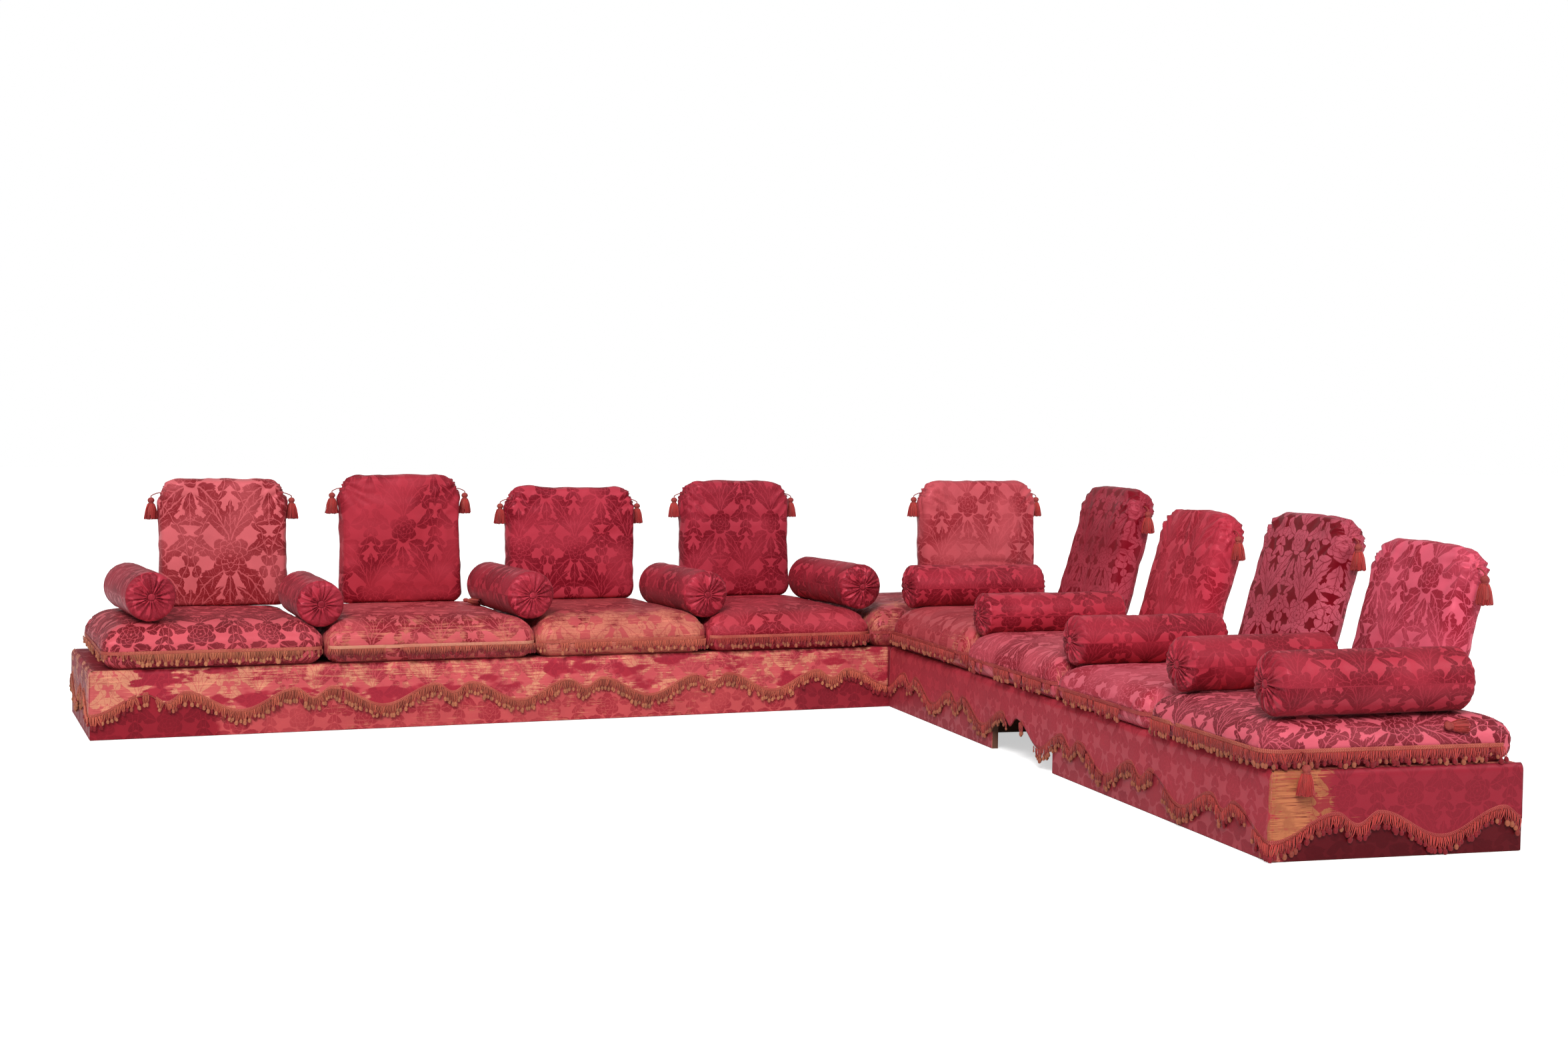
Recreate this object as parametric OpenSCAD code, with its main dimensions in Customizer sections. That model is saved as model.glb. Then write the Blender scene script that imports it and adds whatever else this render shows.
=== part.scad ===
// Corner banquette: two covered base runs set in an L, with a scalloped and fringed valance,
// loose seat cushions, loose back cushions with tassels, and bolsters with gathered ends.
// The origin is the centre of the footprint on the floor, +Z is up, and all lengths are in mm.

/* [Base runs] */
// Angle between the two fronts at the inner corner, in degrees
corner_angle = 83; // [80:1:90]
// Front of the left run, from the inner corner to its free end
left_run = 3120; // [2800:10:3600]
// Front of the right run, from the inner corner to its free end
right_run = 3120; // [2800:10:3600]
// Depth of both runs, from front to wall
base_depth = 775; // [720:5:840]
// Height of the base, from the floor to its covered top
base_height = 246; // [220:2:280]

/* [Base carcass] */
// Thickness of the front, back and end rails
rail_t = 22; // [18:1:28]
// Thickness of the cross bearers
bearer_t = 22; // [18:1:28]
// Height that each cross bearer clears the floor by
bearer_clear = 40; // [20:5:80]
// Bays between the bearers of the left run
left_bays = 5; // [4:1:6]
// Bays between the bearers of the right run
right_bays = 3; // [3:1:5]
// Thickness of the deck boards
deck_t = 18; // [15:1:22]
// Gap between two deck boards
board_gap = 2; // [1:0.5:4]
// Leg of the three-cornered glue blocks in the rail corners
block_leg = 45; // [30:5:60]
// Height of the glue blocks
block_h = 120; // [80:10:180]
// Shank diameter of the bolts that join the runs
bolt_d = 10; // [8:1:12]

/* [Base cover] */
// Thickness of the wadding pad on the deck
pad_t = 18; // [12:1:22]
// Thickness of the covering cloth
cover_t = 2; // [1.5:0.5:3]
// Length of the open gap in the right run's plinth
gap_len = 540; // [400:10:600]
// Height of that gap
gap_h = 170; // [140:5:190]

/* [Valance] */
// Length of one repeat of the scalloped edge
scallop_len = 520; // [480:5:560]
// Thickness of the lined valance
valance_t = 2.5; // [2:0.5:4]
// Height of the crests of the edge above the floor
crest_z = 158; // [150:1:175]
// How far the right run's edge falls from the inner corner to its free end
right_fall = 34; // [0:2:40]
// Drop of the wide scallop below the crests
wide_drop = 72; // [60:1:80]
// Drop of the small scallop below the crests
small_drop = 34; // [25:1:45]
// Width of the small scallop, crest to crest
small_len = 130; // [110:5:160]

/* [Fringe] */
// Height of the woven heading
heading_h = 13; // [10:1:16]
// Drop of the looped hangers under the heading
hanger_drop = 42; // [30:1:48]
// Thickness of the heading
heading_t = 4; // [3:0.5:6]
// Thickness of the row of hangers
hanger_t = 9; // [7:1:12]

/* [Seat cushions] */
// Height of the left run's seat cushions at the crown
left_seat_h = 170; // [150:5:200]
// Height of the corner seat cushion at the crown
corner_seat_h = 172; // [150:5:200]
// Usual height of the right run's seat cushions at the crown
right_seat_h = 150; // [130:5:180]
// Width of the corner seat cushion
corner_seat_w = 860; // [780:10:860]
// How far the seat cushions stand over the front of the base
seat_overhang = 16; // [8:2:24]
// Space left behind the seat cushions
seat_back_space = 6; // [4:2:30]
// Corner radius of a seat cushion in plan
seat_corner_r = 60; // [45:5:80]
// How far a seat cushion's sides draw in between its corners
seat_pull = 3; // [2:1:8]
// Space between two seat cushions
seat_space = 1.2; // [1:0.2:4]
// Space between the corner cushion's fringe and the first seat cushion of the right run
corner_space = 20; // [12:2:40]
// How far a seat cushion slides forward
seat_slide = 200; // [120:10:240]

/* [Back cushions] */
// Usual width of a back cushion
back_w = 490; // [440:10:540]
// Usual height of a back cushion
back_h = 490; // [440:10:540]
// Thickness of a back cushion at its crown
back_t = 128; // [110:2:140]
// Radius of the gathered upper corners
back_top_r = 96; // [70:2:120]
// Radius of the lower corners
back_low_r = 46; // [35:1:60]
// Space between a bolster's far end and the back cushion behind it
back_space = 8; // [4:1:16]
// How far a back cushion's sides draw in between its corners
back_pull = 7; // [2:1:12]
// Lean of the left run's back cushions, in degrees
left_lean = 3; // [0:1:6]
// Lean of the right run's back cushions, in degrees
right_lean = 15; // [0:1:18]

/* [Bolsters] */
// Length of a bolster over its gathered ends, as a share of the base's depth
bolster_len_share = 0.735; // [0.68:0.005:0.74]
// Diameter of the left run's bolsters
left_bolster_d = 182; // [160:2:200]
// Diameter of the right run's bolsters
right_bolster_d = 164; // [150:2:180]
// Diameter of the covered buttons
button_d = 24; // [18:1:30]
// Depth of the dimple that a button sits in
dimple_depth = 9; // [6:1:12]

/* [Tassels] */
// Length of a tassel's skirt
skirt_len = 56; // [45:1:65]
// Diameter of the skirt at its hem
skirt_d = 40; // [34:1:46]
// Diameter of the tassel's head
head_d = 24; // [20:1:28]
// How far the loose tassel hangs below the last seat cushion's fringe
loose_drop = 23; // [10:1:35]
// Diameter of the hanging cord
cord_d = 5; // [4:0.5:6]
// How far below the cushion's top the cord leaves its side
tassel_drop = 62; // [50:2:80]

/* [Hidden] */

// Colours of the finishes
crimson = [0.66, 0.17, 0.26];
deep_crimson = [0.55, 0.11, 0.21];
faded_rose = [0.78, 0.42, 0.38];
rust = [0.72, 0.31, 0.22];
pine = [0.72, 0.58, 0.40];
iron = [0.36, 0.35, 0.34];
wadding = [0.90, 0.87, 0.80];

// Clearances, and one overrun for all cuts
overrun = 1;
soft_gap = 0.4;
fit_gap = 0.2;

// The two sides of the corner
left = 0;
right = 1;

// Heights inside the base. The cover turns over the pad's edge with a radius that ends at the deck
edge_r = pad_t + cover_t;
pad_top_z = base_height - cover_t;
deck_top_z = pad_top_z - pad_t;
rail_h = deck_top_z - deck_t;
cover_hem_z = cover_t;

// The footprint's reach beyond the inner corner, and the move that centres it on the origin
reach_x = base_depth / sin(corner_angle) + base_depth / tan(corner_angle);
reach_y = right_run * sin(corner_angle) + base_depth * cos(corner_angle);
centre_move = [(left_run - reach_x) / 2, (reach_y - base_depth) / 2, 0];

function run_of(side) = side == left ? left_run : right_run;
function bays_of(side) = side == left ? left_bays : right_bays;

// A run is drawn along X from the inner corner to its free end, with its depth along Y. Its near
// end follows the other run: the right run butts on the left run's front, and the left run goes
// on to the line of the right run's back.
function near_x(side, y, inset = 0) =
  (side == left ? -base_depth : fit_gap) / sin(corner_angle) - y / tan(corner_angle)
  + inset / sin(corner_angle);

module on_left() {
  translate(centre_move) mirror([1, 0, 0]) children();
}

module on_right() {
  translate(centre_move) rotate([0, 0, corner_angle - 180]) children();
}

module on_side(side) {
  if (side == left) on_left() children();
  if (side == right) on_right() children();
}

// Carcass

// A board along the run, between two depths, whose near end follows the skewed end line
module long_board(side, y0, y1, height) {
  far = run_of(side) - cover_t;
  linear_extrude(height)
    polygon([[near_x(side, y0, cover_t), y0], [far, y0], [far, y1], [near_x(side, y1, cover_t), y1]]);
}

module end_rails(side) {
  y0 = cover_t + rail_t;
  y1 = base_depth - cover_t - rail_t;
  far = run_of(side) - cover_t;
  translate([far - rail_t, y0, 0]) cube([rail_t, y1 - y0, rail_h]);
  linear_extrude(rail_h)
    polygon([
      [near_x(side, y0, cover_t), y0],
      [near_x(side, y0, cover_t + rail_t), y0],
      [near_x(side, y1, cover_t + rail_t), y1],
      [near_x(side, y1, cover_t), y1]
    ]);
}

module rails(side) {
  long_board(side, cover_t, cover_t + rail_t, rail_h);
  long_board(side, base_depth - cover_t - rail_t, base_depth - cover_t, rail_h);
  end_rails(side);
}

// The gap in the right run's plinth lies between two bearers
gap_centre_share = 0.449;
gap_mid = right_run * gap_centre_share;

module plinth_gap() {
  depth = cover_t + rail_t + 2 * overrun;
  translate([gap_mid - gap_len / 2, -overrun, -overrun]) cube([gap_len, depth, gap_h + overrun]);
}

// Two bolts pass through the left run's front rail and the right run's near end rail
bolt_place_shares = [-0.25, -0.75];
bolt_z = rail_h / 2;
bolt_grip = 2 * (cover_t + rail_t) + fit_gap;
washer_t = bolt_d / 5;
washer_d = bolt_d * 2.4;
nut_t = bolt_d * 0.8;
nut_across = bolt_d * 1.7;
head_t = bolt_d * 0.65;

module at_bolts() {
  for (share = bolt_place_shares)
    translate([base_depth * share, -(bolt_grip + fit_gap) / 2, bolt_z]) rotate([-90, 0, 0]) children();
}

module bolt_holes() {
  at_bolts() translate([0, 0, -overrun]) cylinder(d = bolt_d + 2 * fit_gap, h = bolt_grip + 2 * overrun);
}

module left_frame() {
  color(pine) on_left() difference() {
    rails(left);
    bolt_holes();
  }
}

module right_frame() {
  color(pine) difference() {
    on_right() difference() {
      rails(right);
      plinth_gap();
    }
    on_left() bolt_holes();
  }
}

function bearer_x(side, i) =
  let (start = near_x(side, base_depth / 2)) start + (run_of(side) - start) * i / bays_of(side);

module bearers(side) {
  inner = base_depth - 2 * (cover_t + rail_t);
  for (i = [1:bays_of(side) - 1])
    translate([bearer_x(side, i) - bearer_t / 2, cover_t + rail_t, bearer_clear])
      cube([bearer_t, inner, rail_h - bearer_clear]);
}

module cross_bearers() {
  color(pine) {
    on_left() bearers(left);
    on_right() bearers(right);
  }
}

module glue_block(corner, along, across) {
  translate([0, 0, rail_h - block_h]) linear_extrude(block_h) polygon([corner, along, across]);
}

module glue_blocks(side) {
  inset = cover_t + rail_t;
  far = run_of(side) - inset;
  for (low = [true, false]) {
    y = low ? inset : base_depth - inset;
    y_in = low ? y + block_leg : y - block_leg;
    near = near_x(side, y, inset);
    glue_block([far, y], [far - block_leg, y], [far, y_in]);
    glue_block([near, y], [near + block_leg, y], [near_x(side, y_in, inset), y_in]);
  }
}

module corner_blocks() {
  color(pine) {
    on_left() glue_blocks(left);
    on_right() glue_blocks(right);
  }
}

// One board covers each bay. It meets the next over the bearer between them
module bay_board(side, i) {
  y0 = cover_t;
  y1 = base_depth - cover_t;
  last = bays_of(side);
  left_low = i == 0 ? near_x(side, y0, cover_t) : bearer_x(side, i) + board_gap / 2;
  left_high = i == 0 ? near_x(side, y1, cover_t) : left_low;
  end = i == last - 1 ? run_of(side) - cover_t : bearer_x(side, i + 1) - board_gap / 2;
  translate([0, 0, rail_h]) linear_extrude(deck_t)
    polygon([[left_low, y0], [end, y0], [end, y1], [left_high, y1]]);
}

module deck_boards() {
  color(pine) for (side = [left, right])
    on_side(side) for (i = [0:bays_of(side) - 1]) bay_board(side, i);
}

// A coach bolt with a washer and a nut, drawn along Z from its head's seat
module joining_bolt() {
  translate([0, 0, -head_t]) cylinder(d = washer_d, h = head_t);
  cylinder(d = bolt_d, h = bolt_grip + washer_t + nut_t + washer_t);
}

module washer() {
  difference() {
    cylinder(d = washer_d, h = washer_t);
    translate([0, 0, -overrun]) cylinder(d = bolt_d + 2 * fit_gap, h = washer_t + 2 * overrun);
  }
}

module nut() {
  difference() {
    cylinder(d = nut_across / cos(30), h = nut_t, $fn = 6);
    translate([0, 0, -overrun]) cylinder(d = bolt_d + 2 * fit_gap, h = nut_t + 2 * overrun);
  }
}

module joining_bolts() {
  color(iron) on_left() at_bolts() {
    joining_bolt();
    translate([0, 0, bolt_grip]) washer();
    translate([0, 0, bolt_grip + washer_t]) nut();
  }
}

// Pad and cover

// The section of a run, with its two upper edges rounded
module rounded_section(width, height, r) {
  square([width, height - r]);
  translate([r, 0]) square([width - 2 * r, height]);
  for (x = [r, width - r]) translate([x, height - r]) circle(r);
}

// A whole run inset by a wall, its upper edges rounded along the front, the wall and the free end
module run_block(side, inset) {
  height = base_height - inset;
  r = edge_r - inset;
  far = run_of(side) - inset;
  near = near_x(side, base_depth);
  intersection() {
    translate([near - overrun, inset, 0]) rotate([90, 0, 90])
      linear_extrude(far - near + overrun) rounded_section(base_depth - 2 * inset, height, r);
    translate([near - edge_r - overrun, base_depth, 0]) rotate([90, 0, 0])
      linear_extrude(base_depth) rounded_section(far - near + edge_r + overrun, height, r);
    linear_extrude(height) polygon([
      [near_x(side, inset, inset), inset],
      [far, inset],
      [far, base_depth - inset],
      [near_x(side, base_depth - inset, inset), base_depth - inset]
    ]);
  }
}

// A slab over both runs' whole plan, for cutting a run block level
module level_slab(z0, z1) {
  span = left_run + right_run;
  translate([-span / 2, -span / 2, z0]) cube([2 * span, span, z1 - z0]);
}

module pad(side) {
  difference() {
    run_block(side, cover_t);
    level_slab(-overrun, deck_top_z);
  }
}

module cover(side) {
  difference() {
    run_block(side, 0);
    run_block(side, cover_t);
    level_slab(-overrun, cover_hem_z);
  }
}

module left_pad() {
  color(wadding) on_left() pad(left);
}

module right_pad() {
  color(wadding) on_right() pad(right);
}

module left_cover() {
  color(deep_crimson) on_left() difference() {
    cover(left);
    bolt_holes();
  }
}

module right_cover() {
  color(deep_crimson) difference() {
    on_right() difference() {
      cover(right);
      plinth_gap();
    }
    on_left() bolt_holes();
  }
}

// Valance and fringe

// Height of the scalloped edge at a distance along a run: a small scallop in the middle of each
// repeat, and a wide one between two repeats
function edge_z(side, u) =
  let (
    fall = side == right ? right_fall * min(u / right_run, 1) : 0,
    crest = crest_z - fall,
    from_middle = abs(u - scallop_len * floor(u / scallop_len) - scallop_len / 2),
    small_half = small_len / 2,
    wide_half = (scallop_len - small_len) / 2
  )
  from_middle < small_half
    ? crest - small_drop * (1 + cos(180 * from_middle / small_half)) / 2
    : crest - wide_drop * (1 - cos(180 * (from_middle - small_half) / wide_half)) / 2;

edge_steps = 20;

// Distances along the edge at which it has a point, from one end to the other
function edge_stops(u0, u1) =
  let (step = scallop_len / edge_steps)
  concat([u0], [for (i = [floor(u0 / step) + 1 : ceil(u1 / step) - 1]) i * step], [u1]);

// Places along a strip and the distances that they show: a level stretch may lead in or out
function strip_stops(u0, u1, lead_in, lead_out) = concat(
  lead_in > 0 ? [[-lead_in, u0]] : [],
  [for (u = edge_stops(u0, u1)) [u - u0, u]],
  lead_out > 0 ? [[u1 - u0 + lead_out, u1]] : []
);

// The face of a band that follows the edge, between two heights from it
module edge_band(side, stops, low, high) {
  last = len(stops) - 1;
  polygon(concat(
    [for (s = stops) [s[0], edge_z(side, s[1]) + low]],
    [for (i = [last:-1:0]) [stops[i][0], edge_z(side, stops[i][1]) + high]]
  ));
}

// The valance's face, from its edge up to where the cover turns over
module valance_face(side, stops) {
  last = len(stops) - 1;
  polygon(concat(
    [for (s = stops) [s[0], edge_z(side, s[1])]],
    [[stops[last][0], base_height - edge_r], [stops[0][0], base_height - edge_r]]
  ));
}

// The valances and fringes of the two runs stop short of each other in the inner corner
function corner_start(outer) = outer / tan(corner_angle / 2) + fit_gap;

// A strip's place on the front, standing off it, and on the free end. The front strip goes on level
// past the free end, and the strip on the end starts level behind it
module on_front(x0, off) {
  translate([x0, -off, 0]) rotate([90, 0, 0]) children();
}

module on_end(side, off) {
  translate([run_of(side) + off, 0, 0]) rotate([90, 0, 90]) children();
}

module valance(side) {
  run = run_of(side);
  x0 = corner_start(valance_t);
  on_front(x0, 0) linear_extrude(valance_t) valance_face(side, strip_stops(x0, run, 0, valance_t));
  on_end(side, 0) linear_extrude(valance_t) valance_face(side, strip_stops(run, run + base_depth, 0, 0));
}

// A band of the fringe, laid on the valance's face over the front and round the free end
module fringe_band(side, t, low, high) {
  run = run_of(side);
  x0 = corner_start(valance_t + hanger_t);
  on_front(x0, valance_t) linear_extrude(t)
    edge_band(side, strip_stops(x0, run, 0, valance_t + t), low, high);
  on_end(side, valance_t) linear_extrude(t)
    edge_band(side, strip_stops(run, run + base_depth, valance_t, 0), low, high);
}

heading_low_share = 0.35;
heading_low = -heading_h * heading_low_share;

module fringe(side) {
  fringe_band(side, heading_t, heading_low, heading_low + heading_h);
  fringe_band(side, hanger_t, heading_low - hanger_drop, heading_low);
}

module left_valance() {
  color(faded_rose) on_left() valance(left);
}

module right_valance() {
  color(crimson) on_right() valance(right);
}

module left_fringe() {
  color(rust) on_left() fringe(left);
}

module right_fringe() {
  color(rust) on_right() fringe(right);
}

// Cushion forms

arc_points = 4;
side_points = 3;

function corner_arc(centre, r, start) =
  [for (i = [0:arc_points - 1]) let (a = start + 90 * i / (arc_points - 1))
    centre + r * [cos(a), sin(a)]];

// Points along a side between two corners, drawn in most at its middle
function side_run(a, b, inward, pull) =
  [for (j = [1:side_points]) let (t = j / (side_points + 1), v = 2 * t - 1)
    a + (b - a) * t + inward * pull * (1 - v * v)];

// The outline of a cushion about its centre. Radii start at the right-hand low corner and pulls at
// the right-hand side, and both go on anticlockwise
function outline(w, d, radii, pulls) =
  let (
    turns = [[1, -1], [1, 1], [-1, 1], [-1, -1]],
    inward = [[-1, 0], [0, -1], [1, 0], [0, 1]],
    arcs = [for (k = [0:3]) corner_arc(
      [turns[k].x * (w / 2 - radii[k]), turns[k].y * (d / 2 - radii[k])], radii[k], 90 * k - 90)]
  )
  [for (k = [0:3]) each concat(
    arcs[k], side_run(arcs[k][arc_points - 1], arcs[(k + 1) % 4][0], inward[k], pulls[k]))];

ring_len = 4 * (arc_points + side_points);

// A ring of a cushion: the outline inset by the ring's first value, scaled by its second, at the
// height of its third
function ring(w, d, radii, pulls, spec) =
  let (i = spec[0], k = spec[1])
  [for (p = outline(w - 2 * i, d - 2 * i, [for (r = radii) r * r / (r + i)], pulls))
    [p.x * k, p.y * k, spec[2]]];

function cushion_points(w, d, radii, pulls, specs, low, high) = concat(
  [for (spec = specs) each ring(w, d, radii, pulls, spec)], [[0, 0, low], [0, 0, high]]);

function ring_faces(rings) =
  [for (k = [0:rings - 2]) for (i = [0:ring_len - 1])
    let (a = k * ring_len + i, b = k * ring_len + (i + 1) % ring_len)
    each [[a, a + ring_len, b + ring_len], [a, b + ring_len, b]]];

function cap_faces(rings) =
  let (top = (rings - 1) * ring_len, low = rings * ring_len)
  [for (i = [0:ring_len - 1]) let (j = (i + 1) % ring_len)
    each [[i, j, low], [top + j, top + i, low + 1]]];

module cushion(points, rings) {
  polyhedron(points, concat(ring_faces(rings), cap_faces(rings)), convexity = 4);
}

// Seat cushions

// Ends of the seat cushions as shares of their run: the left run from its free end to the corner,
// and the right run from the far end of its first cushion to its free end
left_seat_shares = [0.987, 0.7365, 0.480, 0.2565, 0.028];
right_seat_shares = [0.282, 0.545, 0.768, 0.997];
right_height_shares = [1.24, 1.08, 0.93, 0.92];
left_seat_count = len(left_seat_shares) - 1;
corner_seat = left_seat_count + 1;

// Where the right run's first seat cushion starts, clear of the corner cushion and its fringe
right_start =
  (seat_overhang + soft_gap + hanger_t + corner_space + seat_overhang * cos(corner_angle))
  / sin(corner_angle);

function seat_side(k) = k <= corner_seat ? left : right;
function seat_low(k) =
  k < corner_seat ? left_run * left_seat_shares[k]
  : k == corner_seat ? left_run * left_seat_shares[4] - corner_seat_w
  : k == corner_seat + 1 ? right_start
  : right_run * right_seat_shares[k - 7];
function seat_high(k) =
  k <= corner_seat ? left_run * left_seat_shares[k - 1] : right_run * right_seat_shares[k - 6];
function seat_height(k) =
  k < corner_seat ? left_seat_h
  : k == corner_seat ? corner_seat_h
  : right_seat_h * right_height_shares[k - 6];
function seat_w(k) = seat_high(k) - seat_low(k) - seat_space;
function seat_mid(k) = (seat_high(k) + seat_low(k)) / 2;

seat_d = base_depth + seat_overhang - seat_back_space;
seat_y = seat_d / 2 - seat_overhang;
seat_z = base_height + soft_gap;
seat_radii = [for (i = [0:3]) seat_corner_r];
seat_pulls = [for (i = [0:3]) seat_pull];

// The wall of a seat cushion takes this share of its height, and its crown the rest
wall_share = 0.76;
// Insets as shares of the wall's height, and heights as shares of it, from the base up
wall_shares = [[0.26, 0], [0.06, 0.20], [0, 0.45], [0.05, 0.76], [0.20, 0.97]];
girth_share = wall_shares[2][1];
// Scales of the crown's rings, and heights as shares of the crown
crown_shares = [[0.88, 0.60], [0.68, 0.88], [0.36, 0.98]];
seat_rings = len(wall_shares) + len(crown_shares);

function seat_specs(height) =
  let (wall = height * wall_share, crown = height - wall, top_inset = wall * wall_shares[4][0])
  concat(
    [for (s = wall_shares) [wall * s[0], 1, wall * s[1]]],
    [for (s = crown_shares) [top_inset, s[0], wall + crown * s[1]]]
  );

function seat_points(k) =
  cushion_points(seat_w(k), seat_d, seat_radii, seat_pulls, seat_specs(seat_height(k)), 0, seat_height(k));

module seat_cushion(k) {
  color(crimson) on_side(seat_side(k))
    translate([seat_mid(k), seat_y, seat_z]) cushion(seat_points(k), seat_rings);
}

// The outline of a seat cushion, moved outwards
function outset(k, out) =
  outline(seat_w(k) + 2 * out, seat_d + 2 * out, [for (r = seat_radii) r + out], seat_pulls);

// A band along the outline of a seat cushion at its girth, from one point of it to another
module girth_band(k, first, last, t) {
  line = outset(k, soft_gap);
  outer = outset(k, soft_gap + t);
  polygon(concat(
    [for (i = [first:last]) line[i % ring_len]],
    [for (i = [last:-1:first]) outer[i % ring_len]]
  ));
}

// The fringe of every seat cushion runs along its front, from the middle of one corner to the
// middle of the other. On the two cushions at the free ends it goes on round the end
front_from = 3 * (arc_points + side_points) + 1;
front_to = ring_len + arc_points - 2;
end_to = ring_len + 2 * arc_points + side_points - 2;

function has_end_fringe(k) = k == 1 || k == 9;

function girth_z(k) = seat_z + seat_height(k) * wall_share * girth_share;

module seat_fringe(k) {
  to = has_end_fringe(k) ? end_to : front_to;
  z = girth_z(k);
  color(rust) on_side(seat_side(k)) translate([seat_mid(k), seat_y, z]) {
    translate([0, 0, heading_low]) linear_extrude(heading_h) girth_band(k, front_from, to, heading_t);
    translate([0, 0, heading_low - hanger_drop]) linear_extrude(hanger_drop)
        girth_band(k, front_from, to, hanger_t);
  }
  if (k == loose_tassel_seat) color(rust) on_side(seat_side(k)) loose_tassel(k);
}

// Points all over the upper side of a seat cushion where it lies, close enough together to rest
// another piece on, and the points where the edges of its faces cross a line along the run
grid_steps = 6;

function grid(a, b, c) =
  [for (i = [0:grid_steps]) for (j = [0:grid_steps - i])
    (a * i + b * j + c * (grid_steps - i - j)) / grid_steps];

function upper_faces(k) =
  let (
    pts = seat_points(k),
    faces = concat(ring_faces(seat_rings), cap_faces(seat_rings)),
    move = [seat_mid(k), seat_y, seat_z],
    girth = seat_height(k) * wall_share * girth_share
  )
  [for (f = faces) if (min([for (i = f) pts[i].z]) >= girth) [for (i = f) pts[i] + move]];

function upper_points(k) = [for (f = upper_faces(k)) each grid(f[0], f[1], f[2])];

function crossings(k, y) =
  [for (f = upper_faces(k)) for (i = [0:2]) let (a = f[i], b = f[(i + 1) % 3])
    if ((a.y - y) * (b.y - y) < 0) a + (b - a) * (y - a.y) / (b.y - a.y)];

// Back cushions

back_w_shares = [0.99, 1.00, 1.11, 1.00, 1.12, 0.98, 0.98, 0.98, 0.98];
back_h_shares = [1.00, 1.04, 0.95, 1.00, 1.01, 1.01, 0.94, 1.02, 0.92];
// Middles of the back cushions as shares of their run. The one on the corner cushion has its middle
// and its front as shares of the base's depth
left_back_shares = [0.824, 0.601, 0.372, 0.137];
right_back_shares = [0.157, 0.392, 0.635, 0.855];
corner_back_share = -0.722;
corner_front_share = 0.31;

function back_side(k) = seat_side(k);
function back_mid(k) =
  k < corner_seat ? left_run * left_back_shares[k - 1]
  : k == corner_seat ? base_depth * corner_back_share
  : right_run * right_back_shares[k - 6];
function back_front(k) =
  k == corner_seat ? base_depth * corner_front_share : bolster_y + bolster_len + back_space;
function back_lean(k) = k <= corner_seat ? left_lean : right_lean;
function back_width(k) = back_w * back_w_shares[k - 1];
function back_height(k) = back_h * back_h_shares[k - 1];

// Rings of a back cushion from its back to its front: scales, and depths as shares of its thickness
back_shares = [[0.66, 0.04], [0.94, 0.12], [1, 0.26], [1, 0.74], [0.94, 0.88], [0.66, 0.96]];
back_rings = len(back_shares);
border_from = back_shares[3][1];
border_to = back_shares[2][1];
back_radii = [back_low_r, back_top_r, back_top_r, back_low_r];
back_pulls = [back_pull, back_pull, back_pull, 0];

function back_specs() = [for (s = back_shares) [0, s[0], back_t * s[1]]];
function back_points(k) =
  cushion_points(back_width(k), back_height(k), back_radii, back_pulls, back_specs(), 0, back_t);

// The line that a leaning back cushion tips about is the wall side of its lower border
function foot_y(k) = back_front(k) + back_t * (1 - border_to);

// Height of that line, with the cushion's foot resting on the seat cushion below it
function foot_z(k) =
  let (
    reach = back_width(k) / 2 - back_low_r,
    y1 = foot_y(k),
    y0 = y1 - back_t * (border_from - border_to),
    under = concat(
      [for (p = upper_points(k)) if (p.y > y0 && p.y < y1) p],
      crossings(k, y0), crossings(k, y1)
    ),
    rises = [for (p = under) if (abs(p.x - back_mid(k)) < reach) p.z - (y1 - p.y) * tan(back_lean(k))]
  )
  max(rises) + soft_gap;

// A point of a back cushion, given across it, up it and forward from the line it tips about
function back_place(k, across, up, forward) =
  let (lean = back_lean(k))
  [
    back_mid(k) + across,
    foot_y(k) + up * sin(lean) - forward * cos(lean),
    foot_z(k) + up * cos(lean) + forward * sin(lean)
  ];

module back_cushion(k) {
  color(crimson) on_side(back_side(k))
    translate(back_place(k, 0, 0, 0)) rotate([-back_lean(k), 0, 0])
      translate([0, back_t * border_to, back_height(k) / 2]) rotate([90, 0, 0])
        cushion(back_points(k), back_rings);
}

// Tassels

neck_share = 0.45;
head_over_share = 0.75;

// A tassel that hangs from the origin: its cord's top, its head, and its skirt down to the hem
module tassel() {
  head_z = -head_d * head_over_share;
  translate([0, 0, head_z]) sphere(d = head_d);
  translate([0, 0, head_z]) cylinder(d = cord_d, h = head_d * head_over_share);
  translate([0, 0, head_z - head_d * neck_share - skirt_len])
    cylinder(d1 = skirt_d, d2 = head_d * head_over_share, h = skirt_len + head_d * neck_share);
}

// A loose tassel hangs on a cord from the fringe of the last seat cushion, clear of the valance
loose_tassel_seat = len(left_seat_shares) + len(right_seat_shares);
loose_tassel_share = 0.116;

module loose_tassel(k) {
  out = run_of(seat_side(k)) + valance_t + soft_gap + skirt_d / 2;
  start = seat_mid(k) + seat_w(k) / 2 + heading_t * 0.3;
  translate([out, base_depth * loose_tassel_share, girth_z(k)]) {
    rotate([0, -90, 0]) cylinder(d = cord_d, h = out - start);
    sphere(d = cord_d);
    translate([0, 0, -loose_drop]) {
      cylinder(d = cord_d, h = loose_drop);
      tassel();
    }
  }
}

// How far from its middle a back cushion's side is, at a height above its foot
function side_reach(k, up) =
  let (
    line = outline(back_width(k), back_height(k), back_radii, back_pulls),
    y = up - back_height(k) / 2
  )
  max([for (i = [0:ring_len - 1]) let (a = line[i], b = line[(i + 1) % ring_len])
    if ((a.y - y) * (b.y - y) <= 0 && a.y != b.y) a.x + (b.x - a.x) * (y - a.y) / (b.y - a.y)]);

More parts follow.
